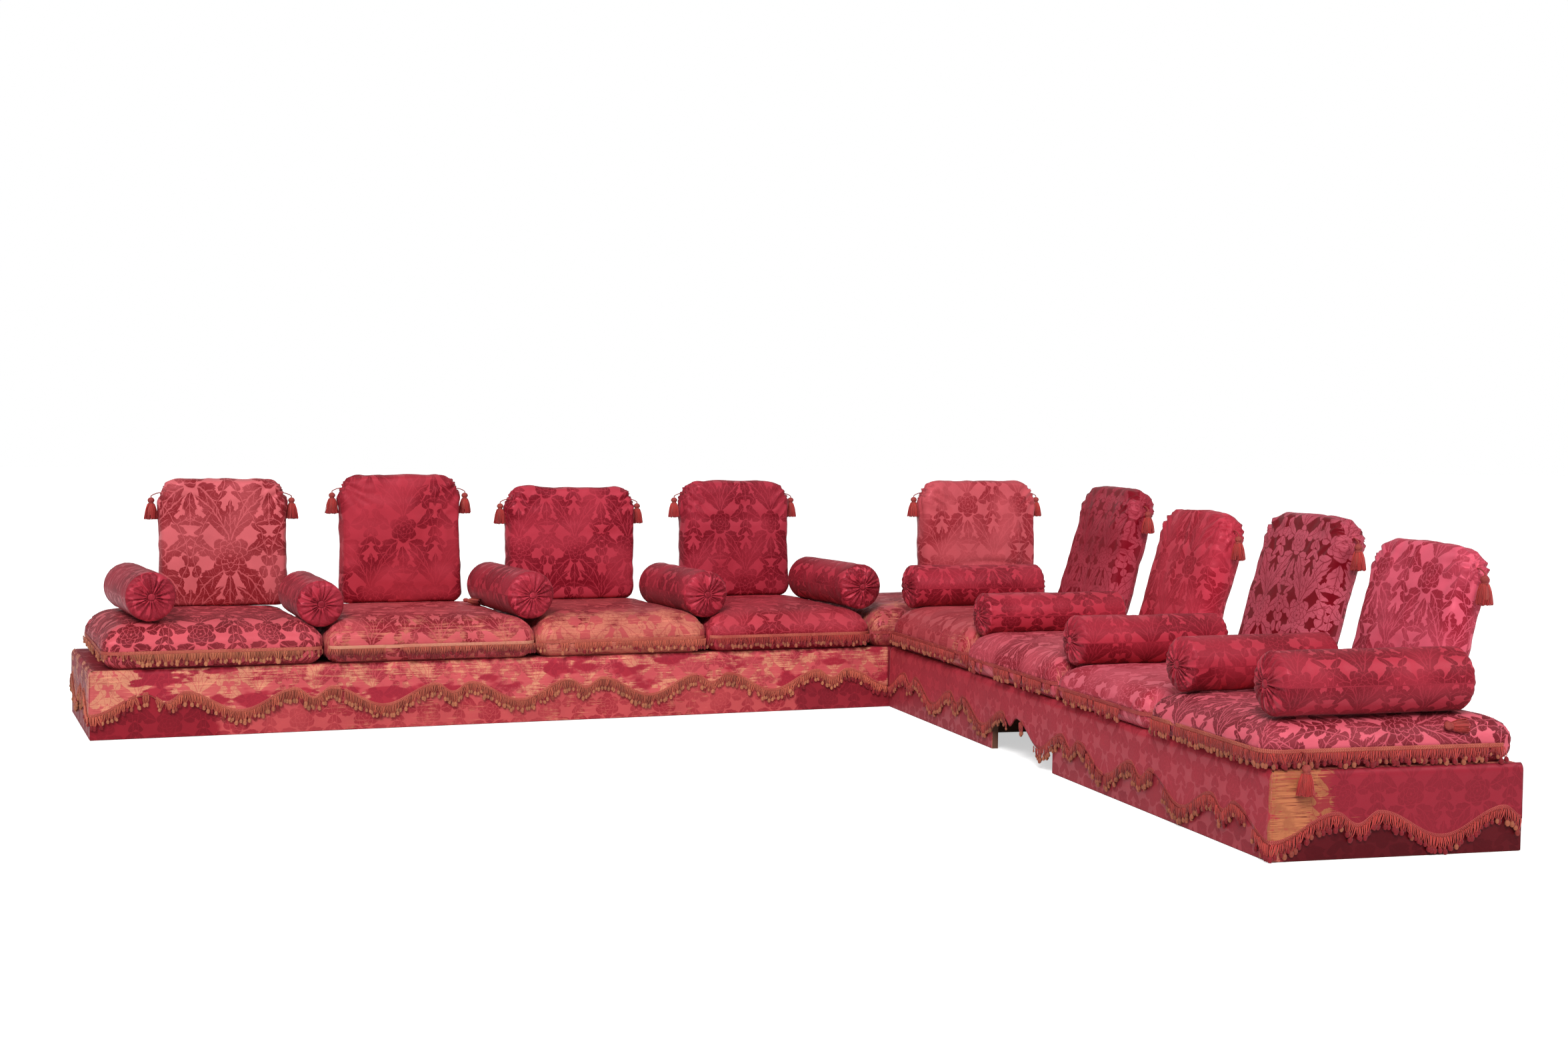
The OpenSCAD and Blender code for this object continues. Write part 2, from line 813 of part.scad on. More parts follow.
// Each tassel hangs beside an upper corner, from a cord that leaves the cushion's side
module back_tassels(k) {
  up = back_height(k) - tassel_drop;
  out = back_width(k) / 2 + soft_gap + skirt_d / 2;
  cord_start = side_reach(k, up - cord_d / 2) + soft_gap;
  color(rust) on_side(back_side(k)) for (s = [-1, 1])
    translate(back_place(k, s * out, up, back_t * (1 / 2 - border_to))) {
      tassel();
      rotate([0, -90 * s, 0]) cylinder(d = cord_d, h = out - cord_start);
      sphere(d = cord_d);
    }
}

// Bolsters

// Middles of the front ends along their run, and turns about +Z, in degrees
left_bolster_shares = [0.932, 0.740, 0.483, 0.254, 0.037];
right_bolster_shares = [0.036, 0.292, 0.556, 0.803, 0.970];
bolster_turns = [3, -2, 2, 1, 2, -2, -2, -2.5, -7, -2];
// Diameters as shares of the run's bolster diameter, and lengths as shares of the bolster length
bolster_d_shares = [0.97, 0.94, 1, 1.01, 1.01, 1.06, 0.97, 1.01, 1, 1.10];
bolster_len_shares = [1, 0.98, 1.06, 1, 0.97, 1.05, 1.03, 1, 0.97, 1.11];
bolster_front_share = 0.028;
left_bolster_count = len(left_bolster_shares);

function bolster_side(k) = k <= left_bolster_count ? left : right;
function bolster_d(k) =
  (k <= left_bolster_count ? left_bolster_d : right_bolster_d) * bolster_d_shares[k - 1];
function bolster_length(k) = bolster_len * bolster_len_shares[k - 1];
function bolster_x(k) =
  k <= left_bolster_count ? left_run * left_bolster_shares[k - 1]
  : right_run * right_bolster_shares[k - 1 - left_bolster_count];
bolster_y = base_depth * bolster_front_share;
bolster_len = base_depth * bolster_len_share;

// The seat cushions that lie under each bolster
bolster_seats = [[1], [1, 2], [2, 3], [3, 4], [4, 5], [6], [6, 7], [7, 8], [8, 9], [9]];

// Slides of the seat cushions that a bolster stays clear of, as shares of the whole slide. A bolster
// on one cushion alone goes along with it
slide_shares = [0, 0.25, 0.5, 0.75, 1];
function slides_under(k) = len(bolster_seats[k - 1]) > 1 ? slide_shares : [0];

// Height of a bolster's axis with its round resting on the seat cushions under it
function bolster_z(k) =
  let (
    r = bolster_d(k) / 2,
    turn = bolster_turns[k - 1],
    along = [sin(turn), cos(turn)],
    across = [cos(turn), -sin(turn)],
    start = [bolster_x(k), bolster_y],
    tops = [for (seat = bolster_seats[k - 1]) for (p = upper_points(seat)) for (share = slides_under(k))
      let (v = [p.x, p.y - seat_slide * share] - start, off = v * across, far = v * along)
      if (abs(off) < r && far > 0 && far < bolster_length(k)) p.z + sqrt(r * r - off * off)]
  )
  max(tops) + soft_gap;

// The gathered end of a bolster: a quarter round down to the dimple of its button
end_share = 0.34;
end_points = 7;
dimple_r = button_d / 2 + fit_gap;
dimple_slope_share = 0.35;

function end_profile(r) =
  [for (i = [0:end_points - 1]) let (a = 90 * i / (end_points - 1), lip = dimple_r * (1 + dimple_slope_share))
    [lip + (r - lip) * cos(a), r * end_share * (1 - sin(a))]];

module bolster_body(r, length) {
  near = end_profile(r);
  rotate_extrude() polygon(concat(
    [[0, dimple_depth], [dimple_r, dimple_depth]],
    [for (i = [end_points - 1:-1:0]) near[i]],
    [for (p = near) [p.x, length - p.y]],
    [[dimple_r, length - dimple_depth], [0, length - dimple_depth]]
  ));
}

// A covered button: a flat drum with a domed face, sewn in to just below the dimple's floor
module button() {
  drum_h = dimple_depth * 0.7;
  translate([0, 0, -overrun]) cylinder(d = button_d, h = drum_h + overrun);
  translate([0, 0, drum_h]) rotate_extrude() intersection() {
    translate([0, -button_d]) circle(r = sqrt(button_d * button_d + button_d * button_d / 4));
    square([button_d / 2, button_d]);
  }
}

module bolster(k) {
  on_side(bolster_side(k)) translate([bolster_x(k), bolster_y, bolster_z(k)])
    rotate([0, 0, -bolster_turns[k - 1]]) rotate([-90, 0, 0]) {
      color(crimson) bolster_body(bolster_d(k) / 2, bolster_length(k));
      color(deep_crimson) {
        translate([0, 0, dimple_depth]) mirror([0, 0, 1]) button();
        translate([0, 0, bolster_length(k) - dimple_depth]) button();
      }
    }
}

left_frame();
right_frame();
cross_bearers();
corner_blocks();
deck_boards();
joining_bolts();
left_pad();
right_pad();
left_cover();
right_cover();
left_valance();
right_valance();
left_fringe();
right_fringe();
seat_cushion(1);  // seat_cushion_1
seat_cushion(2);  // seat_cushion_2
seat_cushion(3);  // seat_cushion_3
seat_cushion(4);  // seat_cushion_4
seat_cushion(5);  // seat_cushion_5
seat_cushion(6);  // seat_cushion_6
seat_cushion(7);  // seat_cushion_7
seat_cushion(8);  // seat_cushion_8
seat_cushion(9);  // seat_cushion_9
seat_fringe(1);  // seat_fringe_1
seat_fringe(2);  // seat_fringe_2
seat_fringe(3);  // seat_fringe_3
seat_fringe(4);  // seat_fringe_4
seat_fringe(5);  // seat_fringe_5
seat_fringe(6);  // seat_fringe_6
seat_fringe(7);  // seat_fringe_7
seat_fringe(8);  // seat_fringe_8
seat_fringe(9);  // seat_fringe_9
back_cushion(1);  // back_cushion_1
back_cushion(2);  // back_cushion_2
back_cushion(3);  // back_cushion_3
back_cushion(4);  // back_cushion_4
back_cushion(5);  // back_cushion_5
back_cushion(6);  // back_cushion_6
back_cushion(7);  // back_cushion_7
back_cushion(8);  // back_cushion_8
back_cushion(9);  // back_cushion_9
back_tassels(1);  // back_tassels_1
back_tassels(2);  // back_tassels_2
back_tassels(3);  // back_tassels_3
back_tassels(4);  // back_tassels_4
back_tassels(5);  // back_tassels_5
back_tassels(6);  // back_tassels_6
back_tassels(7);  // back_tassels_7
back_tassels(8);  // back_tassels_8
back_tassels(9);  // back_tassels_9
bolster(1);  // bolster_1
bolster(2);  // bolster_2
bolster(3);  // bolster_3
bolster(4);  // bolster_4
bolster(5);  // bolster_5
bolster(6);  // bolster_6
bolster(7);  // bolster_7
bolster(8);  // bolster_8
bolster(9);  // bolster_9
bolster(10);  // bolster_10
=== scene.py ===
from math import cos, pi, radians, sin, tan

import bmesh
import bpy
import numpy as np
from mathutils import Matrix, Vector


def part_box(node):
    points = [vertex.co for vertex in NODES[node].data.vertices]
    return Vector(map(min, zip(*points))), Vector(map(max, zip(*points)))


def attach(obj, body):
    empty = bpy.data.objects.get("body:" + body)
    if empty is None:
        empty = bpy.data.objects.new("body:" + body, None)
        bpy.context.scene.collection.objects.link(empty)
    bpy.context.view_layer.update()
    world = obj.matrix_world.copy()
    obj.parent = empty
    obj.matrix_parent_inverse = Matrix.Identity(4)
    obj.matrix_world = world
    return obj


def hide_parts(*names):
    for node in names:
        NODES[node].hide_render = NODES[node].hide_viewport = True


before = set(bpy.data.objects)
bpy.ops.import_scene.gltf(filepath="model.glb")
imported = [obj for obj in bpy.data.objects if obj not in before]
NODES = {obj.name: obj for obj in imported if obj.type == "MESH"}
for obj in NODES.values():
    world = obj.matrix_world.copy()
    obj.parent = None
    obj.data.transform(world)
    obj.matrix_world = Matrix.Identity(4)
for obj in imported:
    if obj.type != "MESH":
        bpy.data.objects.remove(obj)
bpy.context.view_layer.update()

# Sizes of the real piece, in metres, as the solids have them
ANGLE = radians(83)
RUN, DEPTH, HEIGHT, EDGE = 3.12, 0.775, 0.246, 0.020
CORNER = np.array([1.122011, 1.208096])
TURN_R = 0.004          # how round a run's free corner is
SCALLOP, SMALL_SCALLOP, SCALLOP_TOP = 0.52, 0.130, 0.158
VALANCE_OFF = 0.0017    # how far a valance hangs off its cover
LAST_U = RUN + DEPTH - VALANCE_OFF
SEAT_Z, SEAT_DEPTH, SEAT_Y = 0.2464, 0.785, 0.3765
SEAT_GAP, SEAT_ROUND = 0.0012, 0.060
CROWN_AT, GIRTH_AT = 0.76, 0.45     # shares of a seat's height, and of its wall's
BACK_T, BACK_PIVOT = 0.128, 0.26
ROLL_Y, ROLL_SHARE = DEPTH * 0.028, 0.735
SLIDES = (0.0, 0.05, 0.10, 0.15, 0.20)
PRESS_ROOM = 0.0018     # what a seat keeps clear round a bolster
SEAM_DEPTH, PLEAT_DEPTH, PLEAT_RISE, GATHER_RISE = 0.0022, 0.0104, 0.0038, 0.0062
LINE_STEP, HANGER_PITCH, ROOT_DROP = 0.0035, 0.0122, 0.0030
BASE_DROP, SEAT_DROP = 0.0500, 0.0480       # how far the fringes hang
CORD_R, LOOSE_CORD_R = 0.0023, 0.0022


# ---------------------------------------------------------------- places
SIDES = {"left": (1.0, 0.0, -1.0), "right": (cos(ANGLE), sin(ANGLE), 1.0)}


def side_of(k):
    return "left" if k <= 5 else "right"


def on_side(side, p):
    """From a run's own x (away from the corner), y (to the wall) and z to the shared frame."""
    p = np.asarray(p, float)
    c, s, m = SIDES[side]
    return np.stack([CORNER[0] - p[:, 0] * c + p[:, 1] * s,
                     CORNER[1] - p[:, 0] * s - p[:, 1] * c * m, p[:, 2]], 1)


def off_side(side, p):
    """Back from the shared frame to a run's own x, y and z."""
    c, s, m = SIDES[side]
    x, y = p[:, 0] - CORNER[0], p[:, 1] - CORNER[1]
    return np.stack([-x * c - y * s, x * s - y * c * m, p[:, 2]], 1)


# ---------------------------------------------------------------- shapes
LUMP_CELLS = 48
LUMPS = np.random.default_rng(7).random((LUMP_CELLS,) * 3)


def unit(v):
    """Numbers kept between 0 and 1."""
    return np.clip(v, 0, 1)


def bell(v, reach):
    """1 at zero, falling to nothing past the reach."""
    return np.exp(-(v / reach) ** 2)


def on_line(u):
    """Places along a straight line, for lumps."""
    return np.stack([u, 0 * u, 0 * u], 1)


def far_along(line):
    """How far each point of a line is from its start."""
    return np.concatenate([[0], np.cumsum(np.linalg.norm(np.diff(line, axis=0), axis=1))])


def lumps(p, pitch, seed=0):
    """Smooth unevenness from -1 to 1, with bumps about a pitch across."""
    p = np.asarray(p, float) / pitch + seed * 7.31 + 100
    i = np.floor(p).astype(int)
    f = p - i
    f = f * f * (3 - 2 * f)
    i %= LUMP_CELLS
    j = (i + 1) % LUMP_CELLS
    total = 0
    for d in np.ndindex(2, 2, 2):
        w = [f[:, a] if d[a] else 1 - f[:, a] for a in range(3)]
        at = tuple((j if d[a] else i)[:, a] for a in range(3))
        total = total + w[0] * w[1] * w[2] * LUMPS[at]
    return total * 2 - 1


def smooth_line(rows, steps):
    """Points of a soft curve through the rows, steps of them to each stretch."""
    rows = np.asarray(rows, float)
    ends = np.vstack([2 * rows[0] - rows[1], rows, 2 * rows[-1] - rows[-2]])
    out = []
    for k in range(len(rows) - 1):
        a, b, c, d = ends[k:k + 4]
        for t in np.arange(steps) / steps:
            out.append(0.5 * (2 * b + (c - a) * t + (2 * a - 5 * b + 4 * c - d) * t * t
                              + (3 * b - a - 3 * c + d) * t ** 3))
    return np.array(out + [rows[-1]])


def net(rows, across, start=0, ring=True, turned_over=False):
    """Faces between rows of points, each row a ring or an open line."""
    faces = []
    for a in range(start, start + (rows - 1) * across, across):
        for n in range(across if ring else across - 1):
            q, b = (n + 1) % across, a + across
            face = [a + n, a + q, b + q, b + n]
            faces.append([face[0]] + face[:0:-1] if turned_over else face)
    return faces


def disc(across, start=0):
    return list(range(start, start + across))


def linked(name, data):
    obj = bpy.data.objects.new(name, data)
    bpy.context.scene.collection.objects.link(obj)
    return obj


def add_mark(mesh, key, values):
    """One number to each point, for a finish to read."""
    mark = mesh.attributes.new(key, "FLOAT", "POINT")
    mark.data.foreach_set("value", np.asarray(values, np.float32))


def new_piece(name, points, faces, uv=None, marks=None, smooth=True):
    """A mesh object. uv is one pair and each mark one number to a point."""
    mesh = bpy.data.meshes.new(name)
    mesh.from_pydata([tuple(p) for p in points], [], [tuple(f) for f in faces])
    mesh.update()
    if uv is not None:
        layer = mesh.uv_layers.new(name="UVMap")
        corner = np.zeros(len(mesh.loops), np.int32)
        mesh.loops.foreach_get("vertex_index", corner)
        layer.data.foreach_set("uv", np.asarray(uv, np.float32)[corner].ravel())
    for key, values in (marks or {}).items():
        add_mark(mesh, key, values)
    if smooth:
        mesh.polygons.foreach_set("use_smooth", [True] * len(mesh.polygons))
    return linked(name, mesh)


def normals_of(obj):
    out = np.zeros(len(obj.data.vertices) * 3)
    obj.data.vertices.foreach_get("normal", out)
    return out.reshape(-1, 3)


def turn_faces(obj, work):
    """Turns faces over, or all outwards, as the mesh tool given as work does."""
    bm = bmesh.new()
    bm.from_mesh(obj.data)
    work(bm, faces=bm.faces)
    bm.to_mesh(obj.data)
    bm.free()
    obj.data.update()


def set_in_place(obj, side, run, wear):
    """Moves a soft piece's points to a run. The left run is drawn mirrored, so its faces
    turn over."""
    obj.data.vertices.foreach_set("co", on_side(side, run).ravel())
    obj.data.update()
    add_mark(obj.data, "wear", wear)
    if side == "left":
        turn_faces(obj, bmesh.ops.reverse_faces)


def rim_point(x, y, a, b, radii):
    """A point of a square's border, moved to a border with rounded corners.
    The radii are for the corners right low, right high, left high, left low."""
    r = np.where(x > 0, np.where(y < 0, radii[0], radii[1]), np.where(y > 0, radii[2], radii[3]))
    px, py = x * a, y * b
    cx = np.clip(px, -(a - r), a - r)
    cy = np.clip(py, -(b - r), b - r)
    dx, dy = px - cx, py - cy
    n = np.maximum(np.hypot(dx, dy), 1e-9)
    return cx + dx / n * r, cy + dy / n * r, dx / n, dy / n


def pillow(w, d, radii, pulls, wall, crown, base, cells, wall_cells):
    """A stuffed form: rings of inset and height up its wall, then rings of scale and height
    over its crown, with the same over its base. It returns points, faces and the flat
    cloth's places."""
    def rim(x, y, inset, scale):
        radii_in = [r * r / (r + inset) for r in radii]
        px, py, nx, ny = rim_point(x, y, w / 2 - inset, d / 2 - inset, radii_in)
        flat_x = unit(1 - y * y) * (np.abs(x) > 0.999)
        flat_y = unit(1 - x * x) * (np.abs(y) > 0.999)
        px = px - np.sign(x) * flat_x * np.where(x > 0, pulls[0], pulls[2])
        py = py - np.sign(y) * flat_y * np.where(y > 0, pulls[1], pulls[3])
        return px * scale, py * scale, nx, ny

    def key_of(level, a, b):
        if a in (0, cells) or b in (0, cells):
            return ("w", wall_cells if level == "top" else 0, a, b)
        return (level, a, b)

    def add(key, p, q):
        if index.setdefault(key, len(points)) == len(points):
            points.append(p)
            uv.append(q)

    steps = 12
    points, uv, faces, index = [], [], [], {}
    axis = np.linspace(-1, 1, cells + 1)
    rows = smooth_line([(r[0], 1, r[1]) for r in wall] + [(wall[-1][0], *r) for r in crown], steps)
    split = (len(wall) - 1) * steps
    lower = smooth_line([(wall[0][0], *r) for r in base] + [(r[0], 1, r[1]) for r in wall[:2]],
                        steps)
    lower = lower[:len(base) * steps + 1]
    pick = np.linspace(0, split, wall_cells + 1)
    wall_rows = np.stack([np.interp(pick, np.arange(len(rows)), rows[:, k]) for k in range(3)], 1)
    xs, ys = (g.ravel() for g in np.meshgrid(*[np.arange(cells + 1)] * 2, indexing="ij"))
    gx, gy = axis[xs], axis[ys]
    q = np.maximum(np.abs(gx), np.abs(gy))
    safe = np.maximum(q, 1e-9)
    for level, table, ring in (("top", rows[split:], wall[-1]), ("low", lower, wall[0])):
        order = np.argsort(table[:, 1])
        z = np.interp(q, table[order, 1], table[order, 2])
        px, py, _, _ = rim(gx / safe, gy / safe, ring[0], q)
        flat_y = py if level == "top" else -py - 2 * d
        for n in range(len(xs)):
            add(key_of(level, xs[n], ys[n]), (px[n], py[n], z[n]), (px[n], flat_y[n]))
    border = ([(i, 0) for i in range(cells)] + [(cells, j) for j in range(cells)]
              + [(i, cells) for i in range(cells, 0, -1)] + [(0, j) for j in range(cells, 0, -1)])
    bx, by = (axis[[b[k] for b in border]] for k in (0, 1))
    down = far_along(wall_rows[::-1, ::2])[::-1]
    top_x, top_y, out_x, out_y = rim(bx, by, wall_rows[-1, 0], 1)
    for m, row in enumerate(wall_rows):
        px, py, _, _ = rim(bx, by, row[0], 1)
        for n, (i, j) in enumerate(border):
            add(("w", m, i, j), (px[n], py[n], row[2]),
                (top_x[n] + out_x[n] * down[m], top_y[n] + out_y[n] * down[m]))
    for i, j in np.ndindex(cells, cells):
        for level, turn in (("top", 1), ("low", -1)):
            ring = [index[key_of(level, a, b)]
                    for a, b in ((i, j), (i + 1, j), (i + 1, j + 1), (i, j + 1))]
            faces.append(ring[::turn])
    for m in range(wall_cells):
        for a, b in zip(border, border[1:] + border[:1]):
            faces.append([index[("w", *key)] for key in
                          ((m, *a), (m, *b), (m + 1, *b), (m + 1, *a))])
    return np.array(points), faces, np.array(uv)


# ---------------------------------------------------------------- cushions of the banquette
LEFT_SEATS = [RUN * s for s in (0.987, 0.7365, 0.480, 0.2565, 0.028)]
RIGHT_SEATS = [RUN * s for s in (0.282, 0.545, 0.768, 0.997)]
RIGHT_START = (0.016 + 0.0004 + 0.009 + 0.020 + 0.016 * cos(ANGLE)) / sin(ANGLE)
SEAT_SPANS = ([(LEFT_SEATS[k + 1], LEFT_SEATS[k]) for k in range(4)]
              + [(LEFT_SEATS[4] - 0.860, LEFT_SEATS[4]), (RIGHT_START, RIGHT_SEATS[0])]
              + [(RIGHT_SEATS[k], RIGHT_SEATS[k + 1]) for k in range(3)])
SEAT_HEIGHTS = [0.170] * 4 + [0.172] + [0.150 * s for s in (1.24, 1.08, 0.93, 0.92)]
BACK_WIDTHS = [0.490 * s for s in (0.99, 1.00, 1.11, 1.00, 1.12, 0.98, 0.98, 0.98, 0.98)]
BACK_HEIGHTS = [0.490 * s for s in (1.00, 1.04, 0.95, 1.00, 1.01, 1.01, 0.94, 1.02, 0.92)]
BACK_MIDS = ([RUN * s for s in (0.824, 0.601, 0.372, 0.137)] + [DEPTH * -0.722]
             + [RUN * s for s in (0.157, 0.392, 0.635, 0.855)])
BACK_RADII = [0.046, 0.096, 0.096, 0.046]
ROLL_MIDS = [RUN * s for s in
             (0.932, 0.740, 0.483, 0.254, 0.037, 0.036, 0.292, 0.556, 0.803, 0.970)]
ROLL_TURNS = [radians(a) for a in (3, -2, 2, 1, 2, -2, -2, -2.5, -7, -2)]
ROLL_D = ([0.182 * s for s in (0.97, 0.94, 1, 1.01, 1.01)]
          + [0.164 * s for s in (1.06, 0.97, 1.01, 1, 1.10)])
ROLL_LEN = [DEPTH * ROLL_SHARE * s for s in (1, 0.98, 1.06, 1, 0.97, 1.05, 1.03, 1, 0.97, 1.11)]
ROLL_SEATS = [[1], [1, 2], [2, 3], [3, 4], [4, 5], [6], [6, 7], [7, 8], [8, 9], [9]]
# Layers of unevenness: a height, how far its bumps are across, and a seed
SEAT_RUMPLE = [(0.0038, 0.24, 0), (0.0016, 0.085, 11), (0.0011, (0.21, 0.035, 0.06), 23)]
BACK_RUMPLE = [(0.0052, 0.16, 41), (0.0026, 0.07, 51), (0.0021, (0.16, 0.030, 0.10), 61),
               (0.0019, (0.030, 0.15, 0.10), 71)]
ROLL_RUMPLE = [(0.0022, 0.16, 80), (0.0010, 0.05, 90), (0.0008, (0.09, 0.09, 0.016), 95),
               (0.0010, (0.06, 0.06, 0.030), 97)]


def node_z(name):
    lo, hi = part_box(name)
    return lo.z, hi.z


def foot(k):
    """The line that a back cushion stands and tips on: its depth and its height."""
    front = DEPTH * 0.31 if k == 5 else ROLL_Y + DEPTH * ROLL_SHARE + 0.008
    return front + BACK_T * (1 - BACK_PIVOT), node_z("back_cushion_%d" % k)[0]


def back_lean(k):
    return radians(3 if k <= 5 else 15)


def on_back(k, across, up, forward):
    """From a back cushion's own width, height and thickness to its run's."""
    lean, (y, z) = back_lean(k), foot(k)
    return np.stack([BACK_MIDS[k - 1] + across, y + up * sin(lean) - forward * cos(lean),
                     z + up * cos(lean) + forward * sin(lean)], 1)


def roll_axis(k):
    return sum(node_z("bolster_%d" % k)) / 2


def girth_z(k):
    """The height at which a seat cushion's fringe is sewn on."""
    return SEAT_Z + SEAT_HEIGHTS[k - 1] * CROWN_AT * GIRTH_AT


def rumpled(p, k, layers):
    """The layers of a soft piece's unevenness, added up."""
    return sum(high * lumps(p, np.array(pitch), k + seed) for high, pitch, seed in layers)


def folds_to(p, centre, spokes, reach, depth, seed):
    """Gathers that run towards a point: their height at each point of p."""
    v = p - np.asarray(centre)
    far = np.linalg.norm(v, axis=1)
    turn = np.arctan2(v[:, 1], v[:, 0]) + 0.25 * lumps(p, 0.05, seed)
    lift = np.cos(turn * spokes + 1.5 * np.sin(turn * 3 + seed))
    return depth * lift * np.exp(-(far / reach) ** 1.4) * unit(far / 0.012)


def seat_cushion(k):
    low, high = SEAT_SPANS[k - 1]
    w, h = high - low - SEAT_GAP, SEAT_HEIGHTS[k - 1]
    tall = h * CROWN_AT
    rise = h - tall
    wall = [(tall * inset, tall * z)
            for inset, z in ((0.26, 0), (0.06, 0.20), (0, 0.45), (0.05, 0.76), (0.20, 0.97))]
    crown = [(s, tall + rise * z) for s, z in ((0.88, 0.60), (0.68, 0.88), (0.36, 0.98), (0, 1))]
    base = [(0, 0), (0.5, 0), (0.9, 0)]
    p, faces, uv = pillow(w, SEAT_DEPTH, [SEAT_ROUND] * 4, [0.003] * 4, wall, crown, base, 84, 16)
    obj = new_piece("Seat_Cushion_%d" % k, p, faces, uv)
    # soft unevenness, a pull to each corner, and creases along the front seam
    z = p[:, 2]
    up = unit((z - tall * 0.1) / (tall * 0.5))
    lift = rumpled(p, k, SEAT_RUMPLE) * up
    for sx in (-1, 1):
        for sy in (-1, 1):
            pull = (sx * (w / 2 - 0.030), sy * (SEAT_DEPTH / 2 - 0.030), tall * 0.62)
            lift += folds_to(p, pull, 15, 0.085, 0.0034, k + sx) * up
    edge = unit((np.abs(p[:, 1]) - SEAT_DEPTH / 2 + 0.09) / 0.06)
    creases = 0.0016 * lumps(p, np.array([0.018, 0.20, 0.09]), k + 31)
    lift += creases * bell(z - tall * 0.47, 0.020) * edge
    lift -= SEAM_DEPTH * bell(z - tall * GIRTH_AT, 0.006)
    p = p + normals_of(obj) * lift[:, None]
    p[:, 2] = np.maximum(p[:, 2], 0.0004)
    run = press_rolls(k, p + [(low + high) / 2, SEAT_Y, SEAT_Z])
    set_in_place(obj, side_of(k), run, seat_wear(k, p, w))
    return obj


def press_rolls(k, run):
    """Bolsters and the back cushion press the seat that they lie on, also as it slides."""
    above = SEAT_Z + 0.03
    for r, length, t, mid, b in zip(ROLL_D, ROLL_LEN, ROLL_TURNS, ROLL_MIDS, range(1, 11)):
        if k not in ROLL_SEATS[b - 1]:
            continue
        r = r / 2 + PRESS_ROOM
        for slide in SLIDES[:1] if k == 5 else SLIDES:
            v = run[:, :2] - [mid, ROLL_Y + slide]
            off = v @ [cos(t), -sin(t)]
            far = v @ [sin(t), cos(t)]
            under = (np.abs(off) < r) & (far > -0.01) & (far < length + 0.012) & (run[:, 2] > above)
            limit = (roll_axis(b) - np.sqrt(np.maximum(r * r - off * off, 0))
                     + 0.03 * (1 - unit((far + 0.01) / 0.03)))
            run[:, 2] = np.where(under, np.minimum(run[:, 2], limit), run[:, 2])
    y, z = foot(k)
    inside = ((np.abs(run[:, 0] - BACK_MIDS[k - 1]) < BACK_WIDTHS[k - 1] / 2 + 0.01)
              & (run[:, 1] > y - BACK_T * 0.55) & (run[:, 1] < y + 0.23) & (run[:, 2] > above))
    limit = z - 0.0010 + unit(y - run[:, 1]) * tan(back_lean(k))
    run[:, 2] = np.where(inside, np.minimum(run[:, 2], limit), run[:, 2])
    return run


def seat_wear(k, p, w):
    """Where the silk has worn to its gold ground, from 0 to 1."""
    front = unit((-p[:, 1] - 0.08) / 0.30)
    across = p[:, 0] / w
    return {
        1: 0.12 * front,
        2: 0.44 * front,
        3: 0.62 * front,
        4: 0.10 * front,
        5: 0.46 * unit(front + 0.35),
        6: 0.40 * unit(front * 0.5 + unit((p[:, 0] - 0.15) / 0.2)),
        7: 0.15 * front + 0.25 * unit((across - 0.40) / 0.1),
        8: 0.12 * front + 0.30 * unit((across - 0.38) / 0.1),
        9: 0.05 * front + 0.35 * unit((-across - 0.36) / 0.1),
    }[k]


